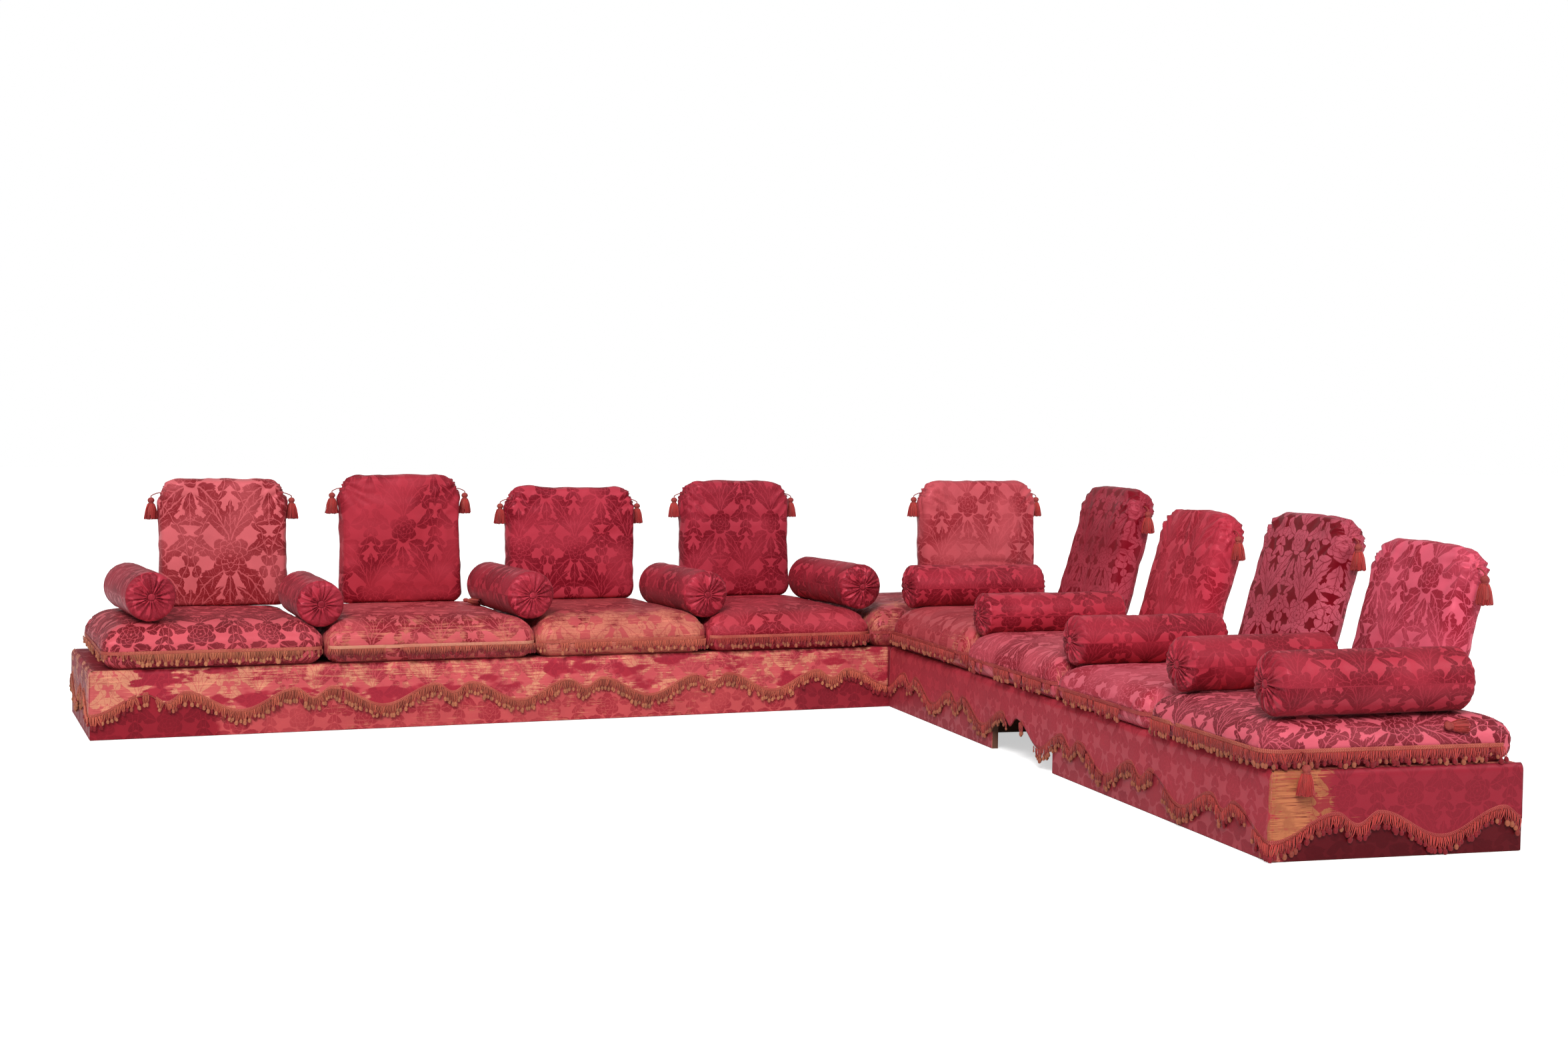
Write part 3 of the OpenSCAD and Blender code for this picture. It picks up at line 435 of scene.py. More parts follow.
def back_cushion(k):
    w, h, t = BACK_WIDTHS[k - 1], BACK_HEIGHTS[k - 1], BACK_T
    wall = [(0.0, t * BACK_PIVOT), (-0.006, t * 0.5), (0.0, t * 0.74)]
    crown = [(0.95, t * 0.91), (0.66, t + 0.001), (0.33, t + 0.006), (0, t + 0.008)]
    base = [(0, 0), (0.33, t * 0.01), (0.66, t * 0.04), (0.94, t * 0.12)]
    p, faces, uv = pillow(w, h, BACK_RADII, [0.007, 0.007, 0.007, 0], wall, crown, base, 64, 10)
    arch = 0.006 if side_of(k) == "left" else 0.016
    p[:, 1] += arch * (1 - (2 * p[:, 0] / w) ** 2) * unit(2 * p[:, 1] / h) ** 2
    obj = new_piece("Back_Cushion_%d" % k, p, faces, uv)
    lift = rumpled(p, k, BACK_RUMPLE)
    # gathers at both upper corners, and folds that run from them
    for sx in (-1, 1):
        v = p - (sx * (w / 2 - 0.016), h / 2 - 0.050, t / 2)
        turn = np.arctan2(v[:, 2], -sx * v[:, 0] * 0.7 + v[:, 1] * 0.7) + 0.2 * lumps(p, 0.04, k)
        far = np.linalg.norm(v, axis=1)
        lift += GATHER_RISE * np.cos(turn * 11 + k) * np.exp(-(far / 0.085) ** 1.6)
        lift -= 0.010 * bell(far, 0.026)
        lift += folds_to(p, (sx * w / 2, h / 2 - 0.02, t), 13, 0.13, 0.0034, k + sx)
    seams = bell(p[:, 2] - t * 0.79, 0.0035) + bell(p[:, 2] - t * 0.21, 0.0035)
    out = np.maximum(np.abs(p[:, 0]) / (w / 2), np.abs(p[:, 1]) / (h / 2))
    lift -= SEAM_DEPTH * seams * unit((out - 0.93) / 0.05)
    if k == 5:      # the deep fold over the corner's back cushion
        y = p[:, 1] + 0.10 + 0.12 * p[:, 0] ** 2 * 4
        lift -= 0.011 * bell(y, 0.010) * unit(0.5 - p[:, 0] * 2.4) * (p[:, 2] > t * 0.5)
    low = unit((p[:, 1] + h / 2) / 0.03)
    p = p + normals_of(obj) * (lift * np.maximum(low, (p[:, 2] > t * 0.8) * 1.0))[:, None]
    p[:, 1] = np.maximum(p[:, 1], -h / 2 + 0.0002)
    run = on_back(k, p[:, 0], p[:, 1] + h / 2, p[:, 2] - t * BACK_PIVOT)
    set_in_place(obj, side_of(k), run, 0 * p[:, 0])
    turn_faces(obj, bmesh.ops.recalc_face_normals)
    return obj


def lathed(rows, around, turn):
    """The radius, height and turn of every point of rows spun round an axis."""
    rows = np.array(rows)
    return (np.repeat(rows[:, 0], around), np.repeat(rows[:, 1], around),
            np.tile(np.arange(around) / around * turn, len(rows)))


def bolster(k):
    r, length = ROLL_D[k - 1] / 2, ROLL_LEN[k - 1]
    around, button, lip, sunk = 144, 0.0122, 0.0162, 0.0088
    round_r = r * 0.34
    end = [(0.001, 0.0092), (button * 0.8, 0.0092), (button, sunk)]
    end += [(lip + (r - lip) * cos(pi / 2 - a), round_r * (1 - sin(pi / 2 - a)))
            for a in np.linspace(0, pi / 2, 15)]
    inner = np.linspace(round_r, length - round_r, 64)[1:-1]
    rows = np.array(end + [(r, y) for y in inner] + [(a, length - b) for a, b in end[::-1]])
    radius, y, a = lathed(rows, around, 2 * pi)
    cx, cz = np.cos(a), np.sin(a)
    # pleats drawn in to the button at both ends
    bend = 0.22 * np.sin(a * 3 + k) + 0.15 * np.sin(a * 5 + 2 * k)
    share = unit((radius - button) / (r - button))
    from_end = np.minimum(y, length - y)
    near_end = unit(1 - from_end / (r * 0.55))
    pleat = np.cos(a * 18 + bend * 4) * 0.65 + np.cos(a * 31 + bend * 7 + 1) * 0.35
    sharp = np.sign(pleat) * np.abs(pleat) ** 0.7
    depth = PLEAT_DEPTH * unit(share * 6) * (1 - share) ** 0.35 * near_end
    past = PLEAT_RISE * near_end * (share > 0.999)
    # the cloth's unevenness and its seam
    soft = rumpled(np.stack([cx * radius, cz * radius, y], 1), k, ROLL_RUMPLE)
    seam = bell((a - (4.05 if k > 5 else 2.4)) * r, 0.0022) * 0.0016 * unit(from_end / (r * 0.6))
    grow = soft * unit(share * 2) - np.abs(soft) * 0.4 - seam + past * sharp
    out_r = np.minimum(radius + grow * np.where(share > 0.999, 1, 0.3), r + 0.0006)
    sign = np.where(y < length / 2, 1, -1)
    out_y = y + sign * (-depth * sharp * 0.6 + depth * 0.5)
    p = np.stack([out_r * cx, out_y, out_r * cz], 1)
    faces = net(len(rows), around) + [disc(around)[::-1], disc(around, (len(rows) - 1) * around)]
    uv = np.stack([np.repeat(far_along(rows), around), a * r], 1)
    # the covered button in each dimple
    across, rings = 28, 7
    dome = [(0.0118, sunk)]
    for i in range(rings):
        f = i / (rings - 1) * pi / 2
        dome.append((0.0132 * cos(f) if i < rings - 1 else 0.0006,
                     sunk - 0.0050 - 0.0052 * sin(f)))
    br, by, ba = lathed(dome, across, 2 * pi)
    for button_y in (by, length - by):
        start = len(p)
        p = np.vstack([p, np.stack([br * np.cos(ba), button_y, br * np.sin(ba)], 1)])
        uv = np.vstack([uv, np.stack([1.0 + br * np.cos(ba), br * np.sin(ba)], 1)])
        faces += net(len(dome), across, start, turned_over=True)
        faces += [disc(across, start + rings * across), disc(across, start)[::-1]]
    t = ROLL_TURNS[k - 1]
    c, s = cos(t), sin(t)
    run = np.stack([ROLL_MIDS[k - 1] + p[:, 0] * c + p[:, 1] * s,
                    ROLL_Y - p[:, 0] * s + p[:, 1] * c, roll_axis(k) + p[:, 2]], 1)
    obj = new_piece("Bolster_%d" % k, on_side(side_of(k), run), faces, uv, {"wear": 0 * p[:, 0]})
    turn_faces(obj, bmesh.ops.recalc_face_normals)
    return obj


# ---------------------------------------------------------------- valance and covers
def edge_z(side, u):
    """The height of the scalloped edge: a small scallop between two wide ones."""
    u = np.asarray(u, float)
    fall = 0.034 * np.clip(u / RUN, None, 1) if side == "right" else 0 * u
    from_middle = np.abs(u - SCALLOP * np.floor(u / SCALLOP) - SCALLOP / 2)
    small, wide = SMALL_SCALLOP / 2, (SCALLOP - SMALL_SCALLOP) / 2
    dip = SCALLOP_TOP - 0.034 * (1 + np.cos(pi * from_middle / small)) / 2
    deep = SCALLOP_TOP - 0.072 * (1 - np.cos(pi * (from_middle - small) / wide)) / 2
    return np.where(from_middle < small, dip, deep) - fall


def face_place(side, u, off, z):
    """A place over a run's front and round its free end, a distance off the cover."""
    u, off, z = (np.ravel(v) for v in np.broadcast_arrays(np.asarray(u, float), off, z))
    bend, s0 = TURN_R * pi / 2, RUN - TURN_R
    a = unit((u - s0) / bend) * pi / 2
    x = np.minimum(u, s0) + np.sin(a) * (TURN_R + off)
    y = TURN_R - np.cos(a) * (TURN_R + off) + np.maximum(u - s0 - bend, 0)
    return on_side(side, np.stack([x, y, z], 1))


def valance(side):
    """The scalloped cloth, from its edge up over the turn of the base."""
    u = np.linspace(0.0085, LAST_U, 520)
    low = edge_z(side, u) - 0.001
    rows, turn_at, over = 26, 0.85, EDGE + 0.0008
    p, uv = [], []
    for f in np.arange(rows) / (rows - 1):
        if f <= turn_at:
            g = f / turn_at
            flat = z = low + (HEIGHT - EDGE - low) * g
            q = np.stack([u, z, 0 * u], 1)
            off = (VALANCE_OFF + (1 - g) ** 1.3 * (0.0012 + 0.0012 * lumps(q, 0.075, 3))
                   + 0.0005 * lumps(q, 0.03, 5))
        else:
            a = (f - turn_at) / (1 - turn_at) * 1.15
            z = HEIGHT - EDGE + sin(a) * over
            off = 0.0014 - (1 - cos(a)) * over
            flat = HEIGHT - EDGE + a * EDGE + 0 * u
        p.append(face_place(side, u, off, z))
        uv.append(np.stack([u, flat], 1))
    p, uv = np.vstack(p), np.vstack(uv)
    at = uv[:, 0]
    if side == "left":
        wear = 0.46 + 0.20 * unit((at - 2.4) / 0.5) * unit((RUN + 0.05 - at) / 0.1)
    else:       # worn to its ground round the free corner
        wear = (np.clip(1.7 - np.abs(at - RUN - 0.062) / 0.095, 0, 1.25)
                * unit((at - RUN + 0.014) / 0.014))
        wear = np.maximum(wear, 0.40 * unit(1 - np.abs(at - RUN - 0.12) / 0.30))
    obj = new_piece(side.capitalize() + "_Valance", p, net(rows, len(u), ring=False), uv,
                    {"wear": wear})
    if side == "left":
        turn_faces(obj, bmesh.ops.reverse_faces)
    area = sum(f.area for f in obj.data.polygons)
    thick = obj.modifiers.new("Cloth", "SOLIDIFY")
    thick.thickness, thick.offset = 0.0010, 1
    return obj, area


def worn_copy(node, name, side):
    """A covering cloth in a node's own form, with the cloth's places over it."""
    mesh = NODES[node].data.copy()
    mesh.materials.clear()
    obj = linked(name, mesh)
    bm = bmesh.new()
    bm.from_mesh(mesh)
    bmesh.ops.remove_doubles(bm, verts=bm.verts, dist=1e-5)
    layer = bm.loops.layers.uv.verify()
    for f in bm.faces:
        co = off_side(side, np.array([v.co[:] for v in f.verts]))
        n = np.cross(co[1] - co[0], co[2] - co[0])
        n = np.abs(n / max(np.linalg.norm(n), 1e-12))
        for loop, (x, y, z) in zip(f.loops, co):
            flat = (x, HEIGHT + y) if n[2] > 0.75 else (RUN + y, z) if n[0] > n[1] else (x, z)
            loop[layer].uv = flat
        f.smooth = False
    area = sum(f.calc_area() for f in bm.faces) / 2
    bm.to_mesh(mesh)
    bm.free()
    return obj, area


# ---------------------------------------------------------------- writing nodes
def as_node(kind, turned=False):
    """What a sign of arithmetic does between values in a tree: it writes a node."""
    return lambda a, b: a.nodes.math(kind, *((b, a) if turned else (a, b)))


class Value:
    """A value inside a tree of nodes, to be added and multiplied as numbers are."""
    __add__, __radd__ = as_node("ADD"), as_node("ADD", True)
    __sub__, __rsub__ = as_node("SUBTRACT"), as_node("SUBTRACT", True)
    __truediv__, __rtruediv__ = as_node("DIVIDE"), as_node("DIVIDE", True)
    __mul__, __pow__ = as_node("MULTIPLY"), as_node("POWER")

    def __init__(self, nodes, socket):
        self.nodes, self.socket = nodes, socket

    def __abs__(self):
        return self.nodes.math("ABSOLUTE", self)


class Nodes:
    """Writes the nodes of a tree."""
    def __init__(self, tree):
        self.tree = tree

    def node(self, kind, **values):
        made = self.tree.nodes.new(kind)
        for key, value in values.items():
            setattr(made, key, value)
        return made

    def put(self, socket, value):
        if isinstance(value, Value):
            self.tree.links.new(value.socket, socket)
        else:
            socket.default_value = value

    def fill(self, made, **values):
        """Inputs of a node by their names, with _ for a space."""
        for key, value in values.items():
            self.put(made.inputs[key.replace("_", " ")], value)
        return self.given(made)

    def given(self, made):
        return {s.name: Value(self, s) for s in made.outputs}

    def of(self, kind, values, **ways):
        """A node's first output, with its inputs in order."""
        made = self.node(kind, **ways)
        for socket, value in zip(made.inputs, values):
            self.put(socket, value)
        return Value(self, made.outputs[0])

    def math(self, kind, *values, clamp=False):
        return self.of("ShaderNodeMath", values, operation=kind, use_clamp=clamp)

    def most(self, first, *others):
        for other in others:
            first = self.math("MAXIMUM", first, other)
        return first

    def ramp(self, value, low, high, a=0.0, b=1.0):
        return self.of("ShaderNodeMapRange", (value, low, high, a, b),
                       interpolation_type="SMOOTHSTEP")

    def mix(self, share, a, b, blend="MIX"):
        made = self.node("ShaderNodeMix", data_type="RGBA", blend_type=blend)
        colours = [s for s in made.inputs if s.type == "RGBA"]
        sockets = [s for s in made.inputs if s.type == "VALUE"][:1] + colours
        for socket, value in zip(sockets, (share, a, b)):
            self.put(socket, value)
        return Value(self, [s for s in made.outputs if s.type == "RGBA"][0])

    def vector(self, kind, a, b):
        made = self.node("ShaderNodeVectorMath", operation=kind)
        self.put(made.inputs[0], a)
        self.put(made.inputs[3 if kind == "SCALE" else 1], b)
        return Value(self, made.outputs[0])

    def noise(self, place, scale, detail=2.0, rough=0.5, stretch=None):
        if stretch is not None:
            place = self.vector("MULTIPLY", place, stretch)
        made = self.node("ShaderNodeTexNoise")
        self.fill(made, Vector=place, Scale=scale, Detail=detail, Roughness=rough)
        return Value(self, made.outputs[0])

    def split(self, place):
        made = self.fill(self.node("ShaderNodeSeparateXYZ"), Vector=place)
        return made["X"], made["Y"]

    def coord(self, kind):
        return self.given(self.node("ShaderNodeTexCoord"))[kind]

    def mark(self, name):
        return self.given(self.node("ShaderNodeAttribute", attribute_name=name))["Fac"]

    def bump(self, height, strength, distance):
        return self.fill(self.node("ShaderNodeBump"), Strength=strength, Distance=distance,
                         Height=height)["Normal"]

    def group(self, tree, **values):
        return self.fill(self.node("ShaderNodeGroup", node_tree=tree), **values)


# ---------------------------------------------------------------- fringes and tassels
def hanger_pattern(name, seed, threads, length, bobble):
    """One looped hanger: a few fine threads that gather into a bobble, one metre long."""
    rng = np.random.default_rng(seed)
    p, faces, along = [], [], []
    for n in range(threads):
        a = n / threads * 2 * pi + rng.random()
        ca, sa = cos(a), sin(a)
        line = smooth_line([(ca * 0.11, sa * 0.05, 0),
                            (ca * 0.13 + rng.normal() * 0.02, sa * 0.09, -0.38),
                            (ca * 0.05, sa * 0.05, -length)], 2)
        faces += net(len(line), 3, len(p))
        for m, q in enumerate(line):
            for t in np.arange(3) * 2 * pi / 3 + a:
                p.append(q + (cos(t) * 0.030, sin(t) * 0.030, 0))
                along.append(m / (len(line) - 1) * 0.6)
    if bobble:
        start = len(p)
        faces += net(4, 6, start) + [disc(6, start), disc(6, start + 18)[::-1]]
        for m, (r, z) in enumerate([(0.06, 0.07), (0.135, -0.04), (0.150, -0.16), (0.080, -0.29)]):
            for t in np.arange(6) * pi / 3 + m * 0.5:
                rr = r * (1 + 0.15 * cos(3 * t))
                p.append((cos(t) * rr, sin(t) * rr, z - length))
                along.append(0.72 + m * 0.09)
    return new_piece(name, p, [f[::-1] for f in faces], None, {"along": along})


def hang_tree():
    """Hangs a pattern on every point, laid, sized and toned as the point says."""
    tree = bpy.data.node_groups.new("Hangers", "GeometryNodeTree")
    for key, way, kind in (("Points", "INPUT", "Geometry"), ("Pattern", "INPUT", "Object"),
                           ("Thread", "INPUT", "Material"), ("Stray", "INPUT", "Float"),
                           ("Seed", "INPUT", "Int"), ("Hangers", "OUTPUT", "Geometry")):
        tree.interface.new_socket(key, in_out=way, socket_type="NodeSocket" + kind)
    w = Nodes(tree)
    given = w.given(w.node("NodeGroupInput"))
    pattern = w.fill(w.node("GeometryNodeObjectInfo", transform_space="ORIGINAL"),
                     Object=given["Pattern"])["Geometry"]
    lay, size = (w.of("GeometryNodeInputNamedAttribute", [key], data_type="FLOAT_VECTOR")
                 for key in ("lay", "size"))
    stray = w.node("FunctionNodeRandomValue", data_type="FLOAT_VECTOR")
    w.fill(stray, Min=(-1, -1, -1), Max=(1, 1, 1), Seed=given["Seed"])
    turn = w.vector("ADD", lay, w.vector("SCALE", Value(w, stray.outputs[0]), given["Stray"]))
    laid = w.fill(w.node("GeometryNodeInstanceOnPoints"), Points=given["Points"], Instance=pattern,
                  Rotation=turn, Scale=size)["Instances"]
    real = w.of("GeometryNodeRealizeInstances", [laid])
    dressed = w.fill(w.node("GeometryNodeSetMaterial"), Geometry=real, Material=given["Thread"])
    w.put(w.node("NodeGroupOutput").inputs[0], dressed["Geometry"])
    return tree


HANG = hang_tree()
PATTERNS = {"hanger": hanger_pattern("Hanger_Pattern", 4, 5, 0.68, True),
            "loop": hanger_pattern("Loop_Pattern", 5, 4, 0.90, False),
            "strand": hanger_pattern("Strand_Pattern", 6, 3, 1.0, False)}


def hung(name, points, lays, sizes, tones, pattern, thread, stray, seed):
    """Patterns hung on the points, as one mesh of its own."""
    mesh = bpy.data.meshes.new(name)
    mesh.from_pydata([tuple(p) for p in points], [], [])
    for key, values in (("lay", lays), ("size", sizes)):
        mark = mesh.attributes.new(key, "FLOAT_VECTOR", "POINT")
        mark.data.foreach_set("vector", np.asarray(values, np.float32).ravel())
    add_mark(mesh, "tone", tones)
    obj = linked(name, mesh)
    mod = obj.modifiers.new("Hangers", "NODES")
    mod.node_group = HANG
    ids = {s.name: s.identifier for s in HANG.interface.items_tree if s.in_out == "INPUT"}
    mod[ids["Pattern"]], mod[ids["Thread"]] = PATTERNS[pattern], thread
    mod[ids["Stray"]], mod[ids["Seed"]] = stray, seed
    deps = bpy.context.evaluated_depsgraph_get()
    made = bpy.data.meshes.new_from_object(obj.evaluated_get(deps), depsgraph=deps)
    obj.modifiers.clear()
    obj.data = made
    made.polygons.foreach_set("use_smooth", [True] * len(made.polygons))
    return obj


def joined(name, parts):
    """Several meshes made one."""
    for p in parts:
        if not p.data.uv_layers:
            p.data.uv_layers.new(name="UVMap")
    with bpy.context.temp_override(active_object=parts[0], object=parts[0],
                                   selected_objects=parts, selected_editable_objects=parts):
        bpy.ops.object.join()
    parts[0].name = parts[0].data.name = name
    return parts[0]


def trimming(name, p, faces, finish, tone, uv=None):
    """A piece of braid or cord, with the marks that its finish reads."""
    obj = new_piece(name, p, faces, uv, {"along": [0] * len(p), "tone": [tone] * len(p)})
    obj.data.materials.append(finish)
    return obj


def heading(name, line, out, thick, braid):
    """The woven heading: a band along a line, with two raised cords and a twist between them."""
    low, high, twist = -0.0045, 0.0082, 0.0042
    shape = (0.15, 0.95, 0.55, 0.75, 0.55, 0.95, 0.15)
    far = far_along(line)
    p, uv = [], []
    for f, s in zip(np.linspace(0, 1, len(shape)), shape):
        z = low + (high - low) * f
        wave = 1 + 0.22 * np.cos(far / twist * pi + f * 9)
        p.append(line + out * (thick * s * wave)[:, None] + [0, 0, z])
        uv.append(np.stack([far, 0 * far + z], 1))
    faces = net(len(shape), len(line), ring=False)
    return trimming(name, np.vstack(p), faces, braid, 0.5, np.vstack(uv))


def girth_line(k, out):
    """The line along a seat cushion's girth where its fringe is sewn, with its outward side."""
    low, high = SEAT_SPANS[k - 1]
    w, end, r, belly = high - low - SEAT_GAP, k in (1, 9), SEAT_ROUND, 0.003
    a, b = w / 2, SEAT_DEPTH / 2
    pts = []
    for t in np.linspace(0.42, 1, 12) * pi / 2:
        c, s = cos(t), sin(t)
        pts.append((-a + r - r * c, -b + r - r * s, -c, -s))
    for x in -a + r + (2 * a - 2 * r) * np.linspace(0, 1, 200)[1:-1]:
        pts.append((x, -b + belly * (1 - (x / a) ** 2), 0, -1))
    for t in np.linspace(0, 1 if end else 0.60, 14) * pi / 2:
        c, s = cos(t), sin(t)
        pts.append((a - r + r * s, -b + r - r * c, s, -c))
    if end:
        for y in -b + r + (2 * b - 0.052 - r) * np.linspace(0, 1, 200)[1:]:
            pts.append((a - belly * (1 - (y / b) ** 2), y, 1, 0))
    pts = np.array(pts)
    far = far_along(pts[:, :2])
    want = np.arange(0, far[-1], LINE_STEP)
    q = np.stack([np.interp(want, far, pts[:, i]) for i in range(4)], 1)
    n = q[:, 2:] / np.linalg.norm(q[:, 2:], axis=1)[:, None]
    x, y = (q[:, :2] + n * out).T
    return (np.stack([x + (low + high) / 2, y + SEAT_Y, 0 * want + girth_z(k)], 1),
            np.stack([n[:, 0], n[:, 1], 0 * want], 1), q[:, 0] / w)


def base_line(side, start=0.0137):
    """The line along a valance's edge where its fringe is sewn, with its outward side."""
    u = np.arange(start, LAST_U - 0.002, LINE_STEP)
    z = edge_z(side, u)
    place = face_place(side, u, 0.0027, z)
    out = face_place(side, u, 0.0037, z) - place
    return u, place, out / np.linalg.norm(out, axis=1)[:, None]


def lays_of(yaw, tilt, sway):
    """Turns for hangers that face a way: their tips swing out and along."""
    turn = Matrix.Rotation
    return np.array([(turn(a, 3, "Z") @ turn(b, 3, "X") @ turn(c, 3, "Y")).to_euler()[:]
                     for a, b, c in zip(yaw, tilt, sway)])


def ragged(along, seed, missing, pitch=0.09):
    """How much of the fringe is left at each place: 1 whole, 0 gone."""
    q = on_line(along)
    n = lumps(q, pitch, seed) * 0.6 + lumps(q, pitch * 0.25, seed + 9) * 0.4
    return unit((n - np.quantile(n, missing)) * 9 + 0.3)


# A fringe's two rows: how far off the line they hang and how that spreads, their length and its
# spread as shares of the drop, how much shorter they are where frayed, their width and thickness
# as shares of their length, the spread of tilt, sway and tone, and how far they stray
FRINGE_ROWS = {"hanger": (0.0045, 0.0008, 0.70, 0.32, 0.40, 1.02, 0.86, 0.03, 0.17, 0.16, 0.03),
               "loop": (0.0036, 0.0010, 0.26, 0.24, 0.0, 0.75, 0.6, 0.02, 0.10, 0.12, 0.04)}


def fringe(name, place, out, whole, tone, seed, silk, braid, drop=BASE_DROP):
    """A heading and its row of hangers along a line, with short loops between them."""
    rng = np.random.default_rng(seed)

    def row(label, kind, pick, seed):
        off, more_off, long, more, fray, wide, thick, tilt, sway, toned, stray = FRINGE_ROWS[kind]
        n, at = len(pick), out[pick]
        root = place[pick] + at * (off + more_off * rng.random((n, 1)))
        root[:, 2] -= ROOT_DROP
        size = drop * (long + more * rng.random(n)) * (1 - fray + fray * whole[pick])
        lays = lays_of(np.arctan2(-at[:, 0], at[:, 1]), -0.02 + tilt * rng.normal(size=n),
                       sway * rng.normal(size=n))
        tones = unit(tone[pick] + toned * rng.normal(size=n))
        return hung(name + label, root, lays, np.stack([size * wide, size * thick, size], 1),
                    tones, kind, silk, stray, seed)

    # the heading sinks out of sight where the fringe is gone
    left = np.clip((whole - 0.1) * 4, -0.8, 1)
    head = heading(name + "_Heading", place, out, 0.0034 * left, braid)
    step = max(1, int(round(HANGER_PITCH / np.linalg.norm(place[1] - place[0]))))
    pick = np.arange(step // 2, len(place), step)
    pick = pick[whole[pick] > 0.25 * rng.random(len(pick))]
    hangers = row("_Hangers", "hanger", pick, seed)
    mids = np.setdiff1d(np.arange(step // 4, len(place), max(step // 3, 1)), pick)
    mids = mids[whole[mids] > 0.35 * rng.random(len(mids))]
    return joined(name, [head, hangers, row("_Loops", "loop", mids, seed + 1)])


TASSEL_HEAD = [(0.0006, -0.0055), (0.0060, -0.0064), (0.0105, -0.0100), (0.0128, -0.0155),
               (0.0122, -0.0210), (0.0094, -0.0250), (0.0086, -0.0266), (0.0106, -0.0280),
               (0.0108, -0.0300), (0.0090, -0.0314), (0.0110, -0.0350), (0.0150, -0.0460),
               (0.0170, -0.0620), (0.0160, -0.0740)]


def tassel_parts(name, top, silk, seed, skirt=0.0700, wide=0.0275):
    """A tassel's head, neck band and skirt, hung straight down from a point."""
    rng = np.random.default_rng(seed)
    ring, n, neck = 16, 96, 0.0096
    p = []
    for m, (r, z) in enumerate(TASSEL_HEAD):
        for t in np.arange(ring) / ring * 2 * pi:
            rr = r * (1 + (0.06 if 1 < m < 5 else 0.03) * cos(8 * t + m))
            p.append([top[0] + rr * cos(t), top[1] + rr * sin(t), top[2] + z])
    faces = net(len(TASSEL_HEAD), ring, turned_over=True) + [disc(ring)]
    head = trimming(name + "_Head", p, faces, RED_BRAID, 0.4)
    a = rng.random(n) * 2 * pi
    r = np.sqrt(rng.random(n))
    root = np.stack([top[0] + neck * r * np.cos(a), top[1] + neck * r * np.sin(a),
                     top[2] - 0.0300 - 0.002 * rng.random(n)], 1)
    flare = (wide - neck) / skirt * (0.35 + 0.65 * r) * (0.9 + 0.2 * rng.random(n))
    size = (skirt - 0.009) * (0.90 + 0.10 * rng.random(n))
    sizes = np.stack([0 * size + 0.034, 0 * size + 0.034, size], 1)
    return [head, hung(name + "_Skirt", root, lays_of(a, 0 * a, -flare), sizes,
                       0.35 + 0.25 * rng.random(n), "strand", silk, 0.02, seed)]


def laid_tassel(name, seat, side, spot, ahead, silk, seed):
    """A loose tassel that lies on a seat cushion, its skirt pointing ahead of its spot."""
    spot, ahead = on_side(side, [[*spot, 0], [*ahead, 0]])
    _, place, up, _ = seat.ray_cast(Vector((spot[0], spot[1], 2.0)), Vector((0, 0, -1)))
    along = Vector(ahead - spot)
    along = (along - up * up.dot(along)).normalized()
    across = up.cross(along)
    parts = tassel_parts(name, (0.0, 0.0, 0.0), silk, seed, skirt=0.058, wide=0.024)
    for part in parts:
        for v in part.data.vertices:
            x, y, z = v.co
            v.co = place + along * (-z - 0.045) + across * x + up * (0.0165 + y * 0.66)
        part.data.update()
    return parts


def cord_between(name, a, b, r, sag=0.0):
    """A twisted cord from one place to another."""
    a, b = np.asarray(a, float), np.asarray(b, float)
    long = np.linalg.norm(b - a)
    n, ring = max(6, int(long / 0.0022)), 8
    t = np.linspace(0, 1, n)
    line = a + (b - a) * t[:, None]
    line[:, 2] -= sag * 4 * t * (1 - t)
    axis = (b - a) / long
    side = np.cross(axis, [0.3, 0.2, 1.0])
    side /= np.linalg.norm(side)
    up = np.cross(axis, side)
    p = []
    for m, q in enumerate(line):
        for w in np.arange(ring) / ring * 2 * pi:
            rr = r * (0.88 + 0.12 * cos(3 * (w - m * 0.45)))
            p.append(q + side * cos(w) * rr + up * sin(w) * rr)
    faces = net(n, ring) + [disc(ring)[::-1], disc(ring, (n - 1) * ring)]
    return trimming(name, p, faces, RED_BRAID, 0.4)


# ---------------------------------------------------------------- colours and finishes
def tint(r, g, b):
    """A colour seen on a screen, 0 to 255, as light."""
    return tuple((c / 255 / 12.92 if c < 10 else ((c / 255 + 0.055) / 1.055) ** 2.4)
                 for c in (r, g, b)) + (1.0,)


def shade(colour, share):
    """A tint made darker or lighter."""
    return tuple(min(1, c * share) for c in tint(*colour)[:3]) + (1.0,)


def shader_group(name, ins, *outs):
    """A node group, the writer of its nodes, its inputs and its output node."""
    tree = bpy.data.node_groups.new(name, "ShaderNodeTree")
    for key, value in ins.items():
        kind = "Vector" if value is None else "Float"
        made = tree.interface.new_socket(key, in_out="INPUT", socket_type="NodeSocket" + kind)
        if value is not None:
            made.default_value = value
    for key in outs:
        tree.interface.new_socket(key, in_out="OUTPUT", socket_type="NodeSocketFloat")
    w = Nodes(tree)
    return tree, w, w.given(w.node("NodeGroupInput")), w.node("NodeGroupOutput")


